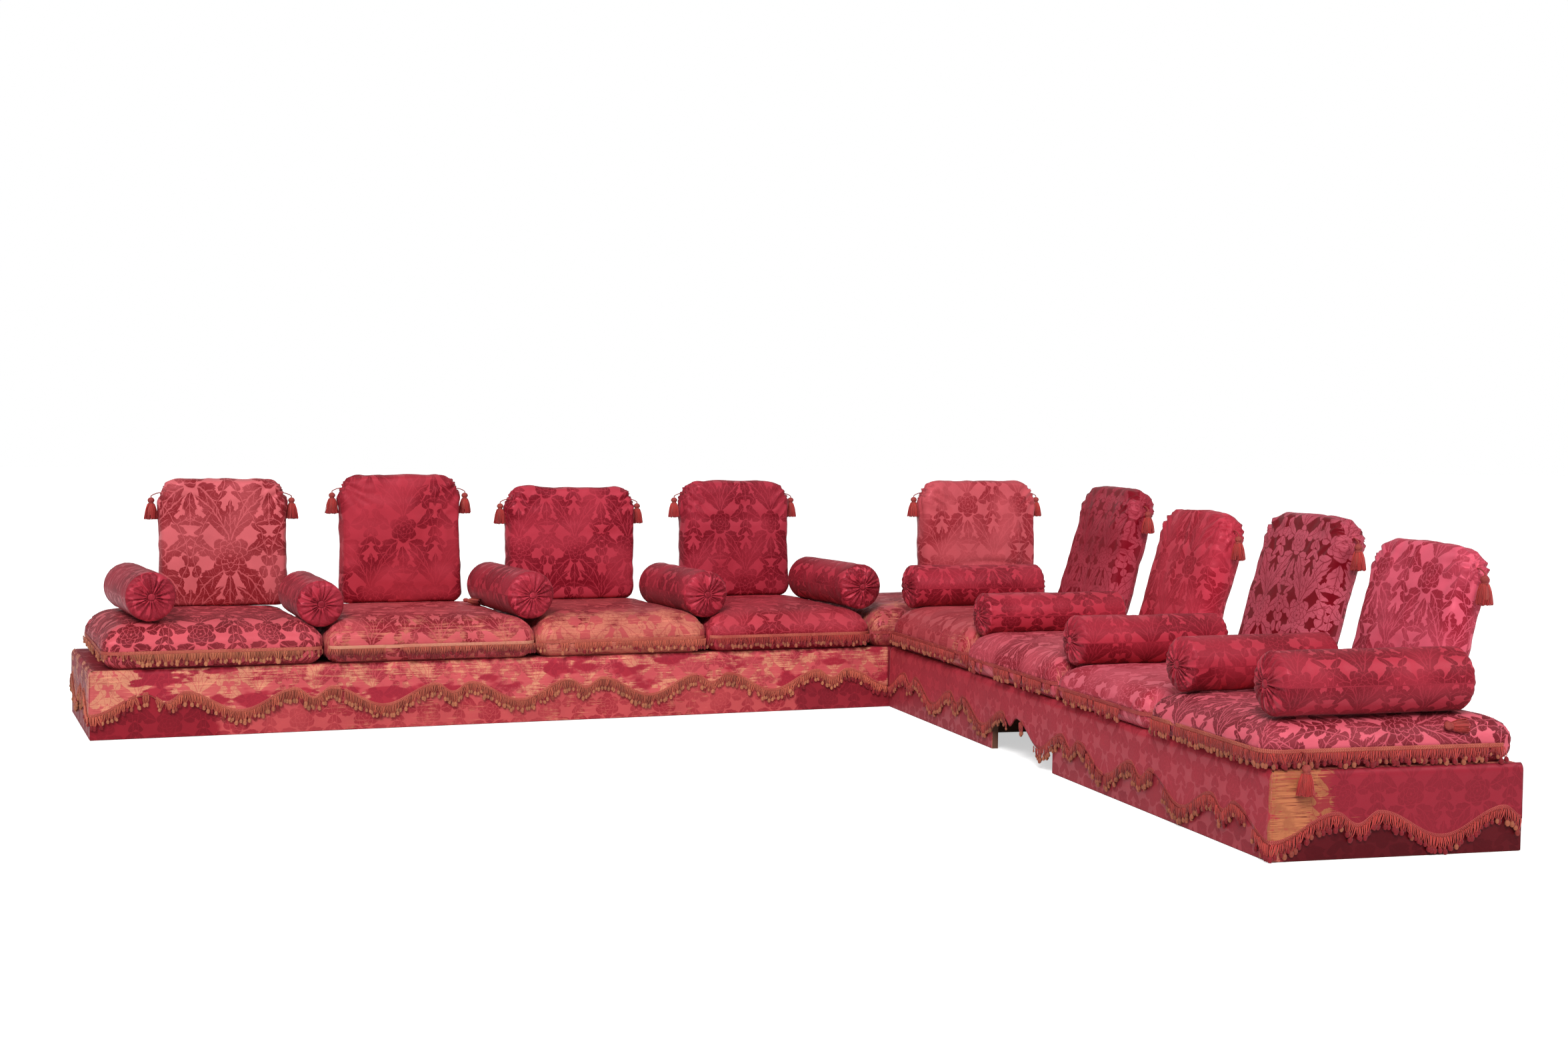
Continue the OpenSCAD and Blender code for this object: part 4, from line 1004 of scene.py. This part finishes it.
def leaf_tree():
    """One lobed leaf of the pattern, in centimetres, with its rib and side veins."""
    tree, w, i, end = shader_group("Leaf", {
        "X": 0, "Y": 0, "From X": 0, "From Y": 0, "Turn": 0, "Long": 10, "Wide": 3, "Bend": 0.5,
        "Lobes": 3}, "Mask", "Vein")
    dx, dy = i["X"] - i["From X"], i["Y"] - i["From Y"]
    c, s = w.math("COSINE", i["Turn"]), w.math("SINE", i["Turn"])
    u = (dx * c + dy * s) / i["Long"]
    v = abs((dy * c - dx * s) / i["Wide"] - i["Bend"] * (u * u))
    belly = w.math("SINE", w.math("MULTIPLY", u, 1.0, clamp=True) ** 0.8 * pi)
    phase = (u - v * 0.40) * i["Lobes"]
    lobe = w.math("PINGPONG", phase, 0.5)
    teeth = w.math("COSINE", phase * (8 * pi))
    past = w.most(abs(u - 0.5) - 0.5, 0.0)
    depth = belly * (0.72 + lobe * 0.56 + teeth * 0.05) - v - (past * 6.0 + 0.05)
    mask = w.ramp(depth, -0.02, 0.04)
    veins = w.ramp(lobe, 0.075, 0.035) * w.ramp(depth, 0.12, 0.30)
    w.fill(end, Mask=mask, Vein=mask * w.most(w.ramp(v, 0.075, 0.035), veins))
    return tree


def flower_tree():
    """A round flower in centimetres: petals round a ringed eye."""
    tree, w, i, end = shader_group("Flower", {"X": 0, "Y": 0, "Radius": 5, "Petals": 6},
                                   "Mask", "Vein")
    far = w.math("SQRT", i["X"] * i["X"] + i["Y"] * i["Y"]) / i["Radius"]
    turn = w.math("ARCTAN2", i["X"], i["Y"])

    def petal_of(shift):
        return abs(w.math("COSINE", turn * (i["Petals"] * 0.5) + shift))

    mask = w.ramp(0.70 + petal_of(0.0) ** 0.6 * 0.30 - far, -0.02, 0.04)
    lines = w.ramp(far, 0.10, 0.06)
    for radius, shift in ((0.78, 1.2), (0.56, 0.0), (0.34, 1.2)):
        ring = (0.72 + petal_of(shift) * 0.28) * radius
        lines = w.most(lines, w.ramp(abs(far - ring), 0.035, 0.012))
    w.fill(end, Mask=mask, Vein=mask * lines)
    return tree


LEAF, FLOWER = leaf_tree(), flower_tree()
TILE_X, TILE_Y = 13.0, 56.0
# The leaves of a plant, in centimetres and degrees: their foot's x and y, turn, length, width,
# bend and lobes
PLANT = [(0.3, 5.0, 76, 18.0, 4.4, -1.7, 4.0), (2.0, -5.0, -22, 14.5, 4.6, -1.7, 4.0),
         (5.0, 1.5, 4, 9.5, 3.4, 1.5, 3.0), (0.0, 7.0, 90, 12.0, 3.0, 0.0, 4.0),
         (0.0, -6.5, -90, 13.0, 2.8, 0.0, 3.0), (8.5, 10.5, 40, 6.5, 2.4, -1.0, 2.0)]


def damask_tree():
    """The woven pattern over a cloth: two mirrored plants a half repeat apart, and a garland
    between them."""
    tree, w, i, end = shader_group("Damask", {"Cloth": None, "Shift": None, "Size": 1.0,
                                              "Fray": 0.5}, "Motif", "Vein")
    place = w.vector("ADD", i["Cloth"], i["Shift"])
    x, y = w.split(w.vector("SCALE", place, 100.0 / i["Size"]))
    fray = i["Fray"] * 5.0
    x += (w.noise(place, 18.0, 3.0, 0.6) - 0.5) * fray
    y += (w.noise(w.vector("ADD", place, (3.0, 7.0, 1.0)), 20.0, 3.0, 0.6) - 0.5) * fray
    xa = w.math("PINGPONG", x, TILE_X)
    ya = w.math("FLOORED_MODULO", y + TILE_Y / 2, TILE_Y) - TILE_Y / 2
    xb, yb = TILE_X - xa, w.math("FLOORED_MODULO", y, TILE_Y) - TILE_Y / 2
    parts = []
    for px, py, flower, petals, size in ((xa, ya, 7.2, 8.0, 1), (xb, yb, 5.6, 6.0, 0.86)):
        parts.append(w.group(FLOWER, X=px, Y=py, Radius=flower, Petals=petals))
        for fx, fy, turn, long, wide, bend, lobes in PLANT:
            parts.append(w.group(LEAF, X=px, Y=py, From_X=fx, From_Y=fy, Turn=radians(turn),
                                 Long=long * size, Wide=wide, Bend=bend, Lobes=lobes))
    off = xa - (6.5 + w.math("COSINE", y * (2 * pi / TILE_Y)) * 5.6)
    leaflet = abs(w.math("SINE", (y + off * 0.55) * (pi / 3.6)))
    garland = w.ramp(leaflet ** 0.7 * 1.9 - abs(off), -0.02, 0.06)
    swirl = abs(w.math("FRACT", w.noise(place, 16.0, 1.0) * 14.0) - 0.5)
    motif = w.most(*[part["Mask"] for part in parts], garland)
    vein = w.most(*[part["Vein"] for part in parts], garland * w.ramp(abs(off), 0.16, 0.08),
                  w.ramp(swirl, 0.07, 0.02) * 0.75)
    w.fill(end, Motif=motif, Vein=w.math("MINIMUM", vein, motif))
    return tree


def thread_tree():
    """The weave: fine warp and weft, its slubs, splits where the weft has gone, and torn lines that
    are real wear, their darkness painted shadow inside the splits.
    """
    tree, w, i, end = shader_group("Weave", {"Cloth": None, "Wear": 0.0}, "Height", "Tone",
                                   "Split", "Worn", "Bare", "Tear")
    cloth, wear = i["Cloth"], i["Wear"]
    warp = w.noise(cloth, 1.0, 1.0, 0.5, (1500.0, 60.0, 1.0))
    weft = w.noise(cloth, 1.0, 1.0, 0.5, (50.0, 1300.0, 1.0))
    broad, blotch = w.noise(cloth, 7.0, 3.0, 0.55), w.noise(cloth, 13.0, 4.0, 0.65)
    streak = w.noise(cloth, 1.0, 3.0, 0.6, (9.0, 230.0, 1.0))
    torn = w.noise(cloth, 1.0, 2.0, 0.6, (7.0, 330.0, 1.0))
    # the torn lines are real wear; the silk paints them dark as shadow inside the splits
    w.fill(end, Worn=w.ramp(wear * 1.15 + (blotch * 1.1 + streak * 0.9), 1.44, 1.66),
           Bare=w.ramp(wear + streak * 0.7, 1.35, 1.65),
           Tear=w.ramp(torn + wear * 0.10, 0.70, 0.76) * w.ramp(blotch, 0.46, 0.58),
           Split=w.ramp(streak + wear * 0.20, 0.70, 0.76) * w.ramp(blotch, 0.40, 0.55),
           Height=warp * 0.5 + weft * 0.5, Tone=broad - 0.5 + (warp - 0.5) * 0.35)
    return tree


DAMASK, WEAVE = damask_tree(), thread_tree()
GOLD, STRAW = (196, 114, 94), (164, 100, 66)


def finish_of(name):
    made = bpy.data.materials.new(name)
    made.use_nodes = True
    bsdf = next(n for n in made.node_tree.nodes if n.type == "BSDF_PRINCIPLED")
    return made, Nodes(made.node_tree), bsdf


def silk(name, ground, motif, size, shift, gold=GOLD, contrast=0.9, vein=0.7, fray=0.42,
         lively=0.25, wear_all=0.0, sheen=0.08, zones=(), worn_zones=(), fade=0.45, blots=0.0):
    """Silk damask. Zones change its ground along the cloth: a place, a width, a colour and a
    share. Worn zones add wear there: a place, a width and how much."""
    made, w, bsdf = finish_of(name)
    cloth = w.coord("UV")
    x, _ = w.split(cloth)
    wear = w.mark("wear") + wear_all
    for middle, width, much in worn_zones:
        wear += w.ramp(abs(x - middle), width, width * 0.6) * much
    pattern = w.group(DAMASK, Cloth=cloth, Shift=shift, Size=size, Fray=fray)
    weave = w.group(WEAVE, Cloth=cloth, Wear=wear)
    base, dark = tint(*ground), tint(*motif)
    for middle, width, colour, share in zones:
        here = w.ramp(abs(x + weave["Tone"] * 0.10 - middle), width, width * 0.97) * share
        base, dark = w.mix(here, base, tint(*colour)), w.mix(here, dark, shade(colour, 0.55))
    if blots:
        blot = w.ramp(w.noise(cloth, 1.0, 3.0, 0.55, (5.0, 12.0, 1.0)), 0.53, 0.60) * blots
        base = w.mix(blot, base, tint(160, 34, 52))
        wear = wear * (0.25 + (1.0 - blot) * 0.75)
        weave = w.group(WEAVE, Cloth=cloth, Wear=wear)
    # the pattern comes and goes in broad patches, a painted sheen where the satin washes it out,
    # and its veins are of the ground
    lit = 1 - fade + w.ramp(w.noise(w.vector("ADD", cloth, shift), 4.2, 1.0), 0.40, 0.58) * fade
    colour = w.mix(pattern["Motif"] * contrast * lit, base, dark)
    colour = w.mix(pattern["Vein"] * vein, colour, base)
    # worn to the gold ground, first where the pattern lies, then split and torn along the weft; the
    # torn lines are real wear, their darkness painted shadow inside the splits
    leaf = pattern["Motif"] * 0.88 + 0.12 - pattern["Vein"] * 0.6
    bare = w.most(leaf, w.ramp(weave["Bare"], 0.0, 1.0))
    colour = w.mix(weave["Worn"] * bare * 0.92, colour, tint(*gold))
    colour = w.mix(weave["Split"] * w.math("MINIMUM", wear + 0.05, 1.0), colour, shade(gold, 1.4))
    # painted shadow: the torn lines are darkened as if shade lay inside the splits
    colour = w.mix(weave["Tear"] * w.math("MINIMUM", wear, 0.9), colour, shade(motif, 0.35))
    colour = w.mix(1.0, colour, 1.0 + weave["Tone"] * (lively * 2), "MULTIPLY")
    w.fill(bsdf, Base_Color=colour, Roughness=0.36 + pattern["Motif"] * 0.16, Sheen_Weight=sheen,
           Sheen_Roughness=0.35, Sheen_Tint=(1.0, 0.60, 0.66, 1.0), Specular_IOR_Level=0.42,
           Specular_Tint=(1.0, 0.34, 0.42, 1.0), Anisotropic=0.55,
           Normal=w.bump(weave["Height"], 0.25, 0.0012))
    return made


def thread_finish(name, top, low, tip):
    """Fringe thread: rust above, ochre and brown in the bobbles, every hanger its own tone."""
    made, w, bsdf = finish_of(name)
    along, tone = w.mark("along"), w.mark("tone")
    thread = w.mix(w.ramp(along, 0.1, 0.6), tint(*top), tint(*low))
    ends = w.mix(w.ramp(tone, 0.50, 0.62), tint(*tip), tint(112, 16, 26))
    colour = w.mix(w.ramp(along, 0.62, 0.78), thread, ends)
    bright = 0.34 + (tone * 0.80 + w.noise(w.coord("Object"), 900.0, 1.0) * 0.55)
    w.fill(bsdf, Base_Color=w.mix(1.0, colour, bright, "MULTIPLY"), Roughness=0.62,
           Sheen_Weight=0.10, Specular_IOR_Level=0.25)
    return made


def braid_finish(name, dark, light, pitch=0.0052):
    """The heading: a twist of two colours along it."""
    made, w, bsdf = finish_of(name)
    spot = w.coord("Object")
    x, z = w.split(w.coord("UV"))
    turn = x * (2 * pi / pitch) + w.math("SINE", z * 900.0) * 1.4
    twist = w.ramp(w.math("SINE", turn), -0.3, 0.5)
    fade, fine = w.noise(spot, 9.0, 3.0), w.noise(spot, 700.0, 1.0)
    colour = w.mix(twist * w.ramp(fade, 0.3, 0.65, 0.25, 0.9), tint(*dark), tint(*light))
    w.fill(bsdf, Base_Color=w.mix(1.0, colour, 0.65 + fine * 0.7, "MULTIPLY"), Roughness=0.65,
           Normal=w.bump(twist + fine * 0.5, 0.5, 0.001))
    return made


def plain_finish(name, grain, one, other, **values):
    """Two tones, mixed by a grain that is given as the noise wants it."""
    made, w, bsdf = finish_of(name)
    colour = w.mix(w.noise(w.coord("Object"), *grain), tint(*one), tint(*other))
    w.fill(bsdf, Base_Color=colour, **values)
    return made


def dress(obj, material):
    obj.data.materials.clear()
    obj.data.materials.append(material)


def fitted(obj, body, node):
    """Ties a piece to its body and hides the node that it stands for."""
    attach(obj, body)
    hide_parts(node)


# ---------------------------------------------------------------- the whole piece
PINE = plain_finish("Old_Pine", (1.0, 3.0, 0.6, (60.0, 60.0, 4.0)), (112, 70, 50), (78, 46, 34),
                    Roughness=0.7)
IRON = plain_finish("Iron", (240.0, 3.0), (92, 90, 88), (60, 52, 46), Metallic=0.85, Roughness=0.5)
FELT = plain_finish("Wadding", (90.0, 4.0), (206, 198, 182), (168, 158, 140), Roughness=0.95)
for node in ("left_frame", "right_frame", "cross_bearers", "corner_blocks", "deck_boards"):
    dress(NODES[node], PINE)
dress(NODES["joining_bolts"], IRON)

SILK_THREAD = thread_finish("Fringe_Silk", (182, 64, 58), (162, 50, 48), (158, 86, 62))
PALE_THREAD = thread_finish("Faded_Fringe_Silk", (204, 104, 82), (186, 82, 66), (176, 104, 74))
OCHRE_THREAD = thread_finish("Ochre_Fringe_Silk", (204, 118, 88), (186, 94, 70), (182, 112, 78))
DARK_THREAD = thread_finish("Dark_Fringe_Silk", (196, 100, 80), (132, 34, 36), (112, 20, 28))
RED_THREAD = thread_finish("Tassel_Silk", (192, 62, 58), (176, 50, 50), (170, 84, 60))
BRAID = braid_finish("Fringe_Braid", (158, 54, 48), (206, 118, 90))
RUST_BRAID = braid_finish("Rust_Braid", (146, 38, 42), (184, 80, 68))
CREAM_BRAID = braid_finish("Cream_Braid", (190, 104, 84), (226, 172, 138))
RED_BRAID = braid_finish("Tassel_Braid", (150, 38, 44), (190, 92, 74))

COVER_SILK = {
    "left": dict(ground=(184, 76, 78), motif=(140, 30, 44), size=0.9, contrast=0.8, wear_all=-0.30,
                 zones=[(3.30, 0.62, (140, 26, 40), 0.95), (-0.20, 0.62, (136, 30, 44), 0.9)],
                 worn_zones=[(1.55, 1.12, 0.66)]),
    # the very dark zone at the right run's free end is painted shade on its end face
    "right": dict(ground=(158, 44, 56), motif=(122, 20, 34), size=1.0, contrast=0.6, vein=0.4,
                  zones=[(3.60, 0.44, (74, 5, 11), 0.94)], worn_zones=[(3.12, 0.04, 0.9)])}
VALANCE_SILK = {
    "left": dict(ground=(194, 80, 86), motif=(142, 34, 50), gold=(212, 142, 112),
                 shift=(0.06, 0.11, 0.0), contrast=0.75, fray=0.34, lively=0.22, blots=0.85,
                 zones=[(3.62, 0.42, (126, 24, 38), 0.9)]),
    # the darker zone at the right run's free end is painted shade on its end face
    "right": dict(ground=(172, 48, 62), motif=(138, 26, 40), gold=STRAW, shift=(0.10, 0.05, 0.0),
                  contrast=0.55, lively=0.20, fade=0.3, zones=[(3.66, 0.44, (140, 34, 48), 0.85)])}

for side in ("left", "right"):
    name, left = side.capitalize(), side == "left"
    pad, _ = worn_copy(side + "_pad", name + "_Pad", side)
    fitted(pad, "base", side + "_pad")
    dress(pad, FELT)
    cover, area = worn_copy(side + "_cover", name + "_Cover", side)
    cover.data.attributes.new("wear", "FLOAT", "POINT")
    dress(cover, silk(name + "_Cover_Silk", shift=(0.31, 0.20, 0.0), **COVER_SILK[side]))
    fitted(cover, "base", side + "_cover")
    cloth, cloth_area = valance(side)
    dress(cloth, silk(name + "_Valance_Silk", size=0.8, vein=0.8, **VALANCE_SILK[side]))
    u, place, out = base_line(side)
    tone = 0.5 + 0.35 * lumps(on_line(u), 0.4, 13)
    if left:
        whole = ragged(u, 3, 0.03)
        tone -= 0.5 * unit((u - 3.20) / 0.10)
    else:       # frayed over the plinth's open gap
        in_gap = unit(1 - np.abs(u - 1.40) / 0.24)
        whole = ragged(u, 5, 0.05) * unit(1 - in_gap * 2.0 * ragged(u, 8, 0.3))
    trim = fringe(name + "_Fringe", place, out, whole, tone, 20,
                  PALE_THREAD if left else SILK_THREAD, BRAID if left else RUST_BRAID)
    fitted(cloth, "base", side + "_valance")
    fitted(trim, "base", side + "_fringe")
    span = RUN + (DEPTH / sin(ANGLE) if left else 0.05)
    span + 2 * HEIGHT

# Ground and motif of each cushion's silk; the backs also have the size of their pattern, its
# place on the cloth and how far a painted sheen washes the pattern out
SEAT_SILK = [((204, 84, 94), (92, 4, 14)), ((196, 84, 90), (116, 10, 24)),
             ((176, 70, 74), (106, 10, 22)), ((178, 58, 70), (112, 8, 22)),
             ((178, 74, 80), (106, 12, 22)), ((184, 74, 80), (138, 26, 36)),
             ((206, 86, 100), (124, 12, 28)), ((210, 92, 108), (148, 28, 44)),
             ((214, 94, 110), (92, 3, 12))]
BACK_SILK = [((212, 102, 108), (126, 14, 24), 1.15, (0.02, 0.05), 0.35),
             ((176, 50, 64), (112, 8, 24), 1.0, (0.13, 0.24), 0.75),
             ((182, 54, 70), (112, 6, 24), 0.9, (0.00, 0.02), 0.55),
             ((172, 50, 66), (108, 6, 22), 0.9, (0.03, 0.18), 0.45),
             ((194, 82, 90), (138, 28, 38), 0.95, (0.05, 0.12), 0.70),
             ((120, 8, 26), (172, 60, 76), 0.75, (0.06, 0.03), 0.45),
             ((192, 56, 74), (138, 14, 32), 0.85, (0.01, 0.21), 0.50),
             ((112, 4, 20), (196, 86, 104), 0.85, (0.09, 0.08), 0.25),
             ((220, 90, 112), (138, 12, 34), 0.95, (0.02, 0.14), 0.35)]
SEAT_LOSS = [0.06, 0.10, 0.12, 0.04, 0.20, 0.12, 0.46, 0.42, 0.04]
SEAT_TRIM = {1: (OCHRE_THREAD, BRAID), 2: (DARK_THREAD, CREAM_BRAID), 3: (PALE_THREAD, BRAID),
             4: (SILK_THREAD, BRAID), 9: (SILK_THREAD, BRAID)}

for k in range(1, 10):
    side, name = side_of(k), "Seat_Fringe_%d" % k
    cushion = seat_cushion(k)
    dress(cushion, silk("Seat_Silk_%d" % k, *SEAT_SILK[k - 1], 0.92, (0.07 * k, 0.11 * k, 0),
                        fade=0.15 if k in (1, 9) else 0.45))
    place, out, share = girth_line(k, 0.0018)
    far = far_along(place)
    whole = ragged(far, 30 + k, SEAT_LOSS[k - 1])
    if k == 1:
        whole *= np.clip(1.4 - (np.abs(share) / 0.36) ** 6, 0.12, 1)
    if k == 3:
        whole *= 1 - 0.95 * unit(1 - np.abs(share - 0.05) / 0.14) ** 0.5
    tone = 0.5 + 0.3 * lumps(on_line(far), 0.3, k)
    out = on_side(side, out) - on_side(side, np.zeros((1, 3)))
    trim = fringe(name, on_side(side, place), out, whole, tone, 40 + k,
                  *SEAT_TRIM.get(k, (SILK_THREAD, RUST_BRAID)), drop=SEAT_DROP)
    if k == 9:      # a tassel hangs over the base by the near corner, another lies on the seat
        x, y, z = RUN + 0.0229, DEPTH * 0.116, girth_z(k)
        root, peg, low = on_side(side, [[x - 0.045, y, z + 0.001], [x, y, z], [x, y, z - 0.023]])
        trim = joined(name, [
            trim, cord_between("Loose_Cord", root, peg, LOOSE_CORD_R),
            cord_between("Loose_Drop", peg, low - [0, 0, 0.008], LOOSE_CORD_R),
            *tassel_parts("Loose_Tassel", low, RED_THREAD, 90),
            *laid_tassel("Laid_Tassel", cushion, side, (3.088, 0.575), (3.092, 0.62),
                         RED_THREAD, 91)])
    if k == 2:
        trim = joined(name, [trim, *laid_tassel("Laid_Tassel_2", cushion, side, (1.632, 0.455),
                                                (1.600, 0.43), DARK_THREAD, 92)])
    fitted(cushion, "seat_%d" % k, "seat_cushion_%d" % k)
    fitted(trim, "seat_%d" % k, "seat_fringe_%d" % k)

for k in range(1, 10):
    cushion = back_cushion(k)
    ground, motif, size, shift, fade = BACK_SILK[k - 1]
    dress(cushion, silk("Back_Silk_%d" % k, ground, motif, size, (*shift, 0), lively=0.16,
                        fade=fade))
    w, h = BACK_WIDTHS[k - 1], BACK_HEIGHTS[k - 1]
    parts = []
    for s in (-1, 1):
        across, up = s * np.array([w / 2 - 0.018, w / 2 + 0.0245]), h - np.array([0.050, 0.062])
        root, top = on_side(side_of(k), on_back(k, across, up, BACK_T * 0.24))
        parts += [cord_between("Back_Cord", root, top, CORD_R, -0.004),
                  cord_between("Back_Drop", top + [0, 0, 0.001], top - [0, 0, 0.009], CORD_R),
                  *tassel_parts("Back_Tassel", top, RED_THREAD, 60 + k * 2 + s)]
    tassels = joined("Back_Tassels_%d" % k, parts)
    fitted(cushion, "back_%d" % k, "back_cushion_%d" % k)
    fitted(tassels, "back_%d" % k, "back_tassels_%d" % k)

for k in range(1, 11):
    roll = bolster(k)
    dress(roll, silk("Bolster_Silk_%d" % k, (176, 50, 66), (98, 4, 18), 0.8,
                     (0.05 * k, 0.09 * k, 0), contrast=0.8, vein=0.5, lively=0.16, sheen=0.12))
    fitted(roll, "roll_%d" % k, "bolster_%d" % k)

for pattern in PATTERNS.values():
    bpy.data.objects.remove(pattern)


# ---------------------------------------------------------------- floor, light and camera
def stage_floor():
    """A pale floor, which the camera sees a little brighter than the light makes it."""
    far = 40.0
    obj = new_piece("Floor", [(-far, -far, 0), (far, -far, 0), (far, far, 0), (-far, far, 0)],
                    [(0, 1, 2, 3)], smooth=False)
    made, w, _ = finish_of("Pale_Floor")
    made.node_tree.nodes.clear()
    pale = w.mix(w.noise(w.coord("Object"), 2.0), (0.80, 0.80, 0.80, 1), (0.82, 0.82, 0.82, 1))
    seen = w.given(w.node("ShaderNodeLightPath"))["Is Camera Ray"]
    matt = w.of("ShaderNodeBsdfDiffuse", [pale])
    glow = w.fill(w.node("ShaderNodeEmission"), Strength=seen * 0.55)["Emission"]
    both = w.of("ShaderNodeAddShader", [matt, glow])
    w.put(w.node("ShaderNodeOutputMaterial").inputs[0], both)
    dress(obj, made)


def sky():
    """A soft studio light all round, which the camera sees as white."""
    world = bpy.data.worlds.new("Studio")
    world.use_nodes = True
    bpy.context.scene.world = world
    world.node_tree.nodes.clear()
    w = Nodes(world.node_tree)
    seen = w.given(w.node("ShaderNodeLightPath"))["Is Camera Ray"]
    lit, white = (w.of("ShaderNodeBackground", [colour, strength]) for colour, strength in
                  (((1.0, 0.985, 0.97, 1), 0.34), ((1, 1, 1, 1), 1.0)))
    both = w.of("ShaderNodeMixShader", [seen, lit, white])
    w.put(w.node("ShaderNodeOutputWorld").inputs[0], both)


def lamp(name, kind, place, target, power, **values):
    data = bpy.data.lights.new(name, kind)
    for key, value in (("energy", power), *values.items()):
        setattr(data, key, value)
    obj = linked(name, data)
    obj.location = place
    obj.rotation_euler = (Vector(target) - Vector(place)).to_track_quat("-Z", "Y").to_euler()


def camera():
    """The camera that fits the photograph's edges and corners."""
    yaw, pitch, roll = (radians(a) for a in (23.13, -2.70, 0.87))
    turn = (Matrix.Rotation(-yaw, 4, "Z") @ Matrix.Rotation(pi / 2 + pitch, 4, "X")
            @ Matrix.Rotation(roll, 4, "Z"))
    data = bpy.data.cameras.new("Camera")
    data.lens, data.sensor_width, data.clip_end = 47.97, 36, 200
    obj = linked("Camera", data)
    obj.matrix_world = Matrix.Translation((-2.6310, -6.4539, 1.150)) @ turn
    bpy.context.scene.camera = obj


stage_floor()
sky()
lamp("Key", "SUN", (-3.6, -5.6, 6.0), (0, 0, 0.3), 2.5, angle=radians(24))
lamp("Top", "AREA", (-0.5, -1.2, 3.6), (0.2, 0.4, 0.3), 30, size=3.0)
lamp("Rim", "AREA", (3.6, -3.2, 2.4), (0.8, -0.2, 0.5), 26, size=1.6)
camera()
bpy.context.scene.view_settings.view_transform = "Standard"
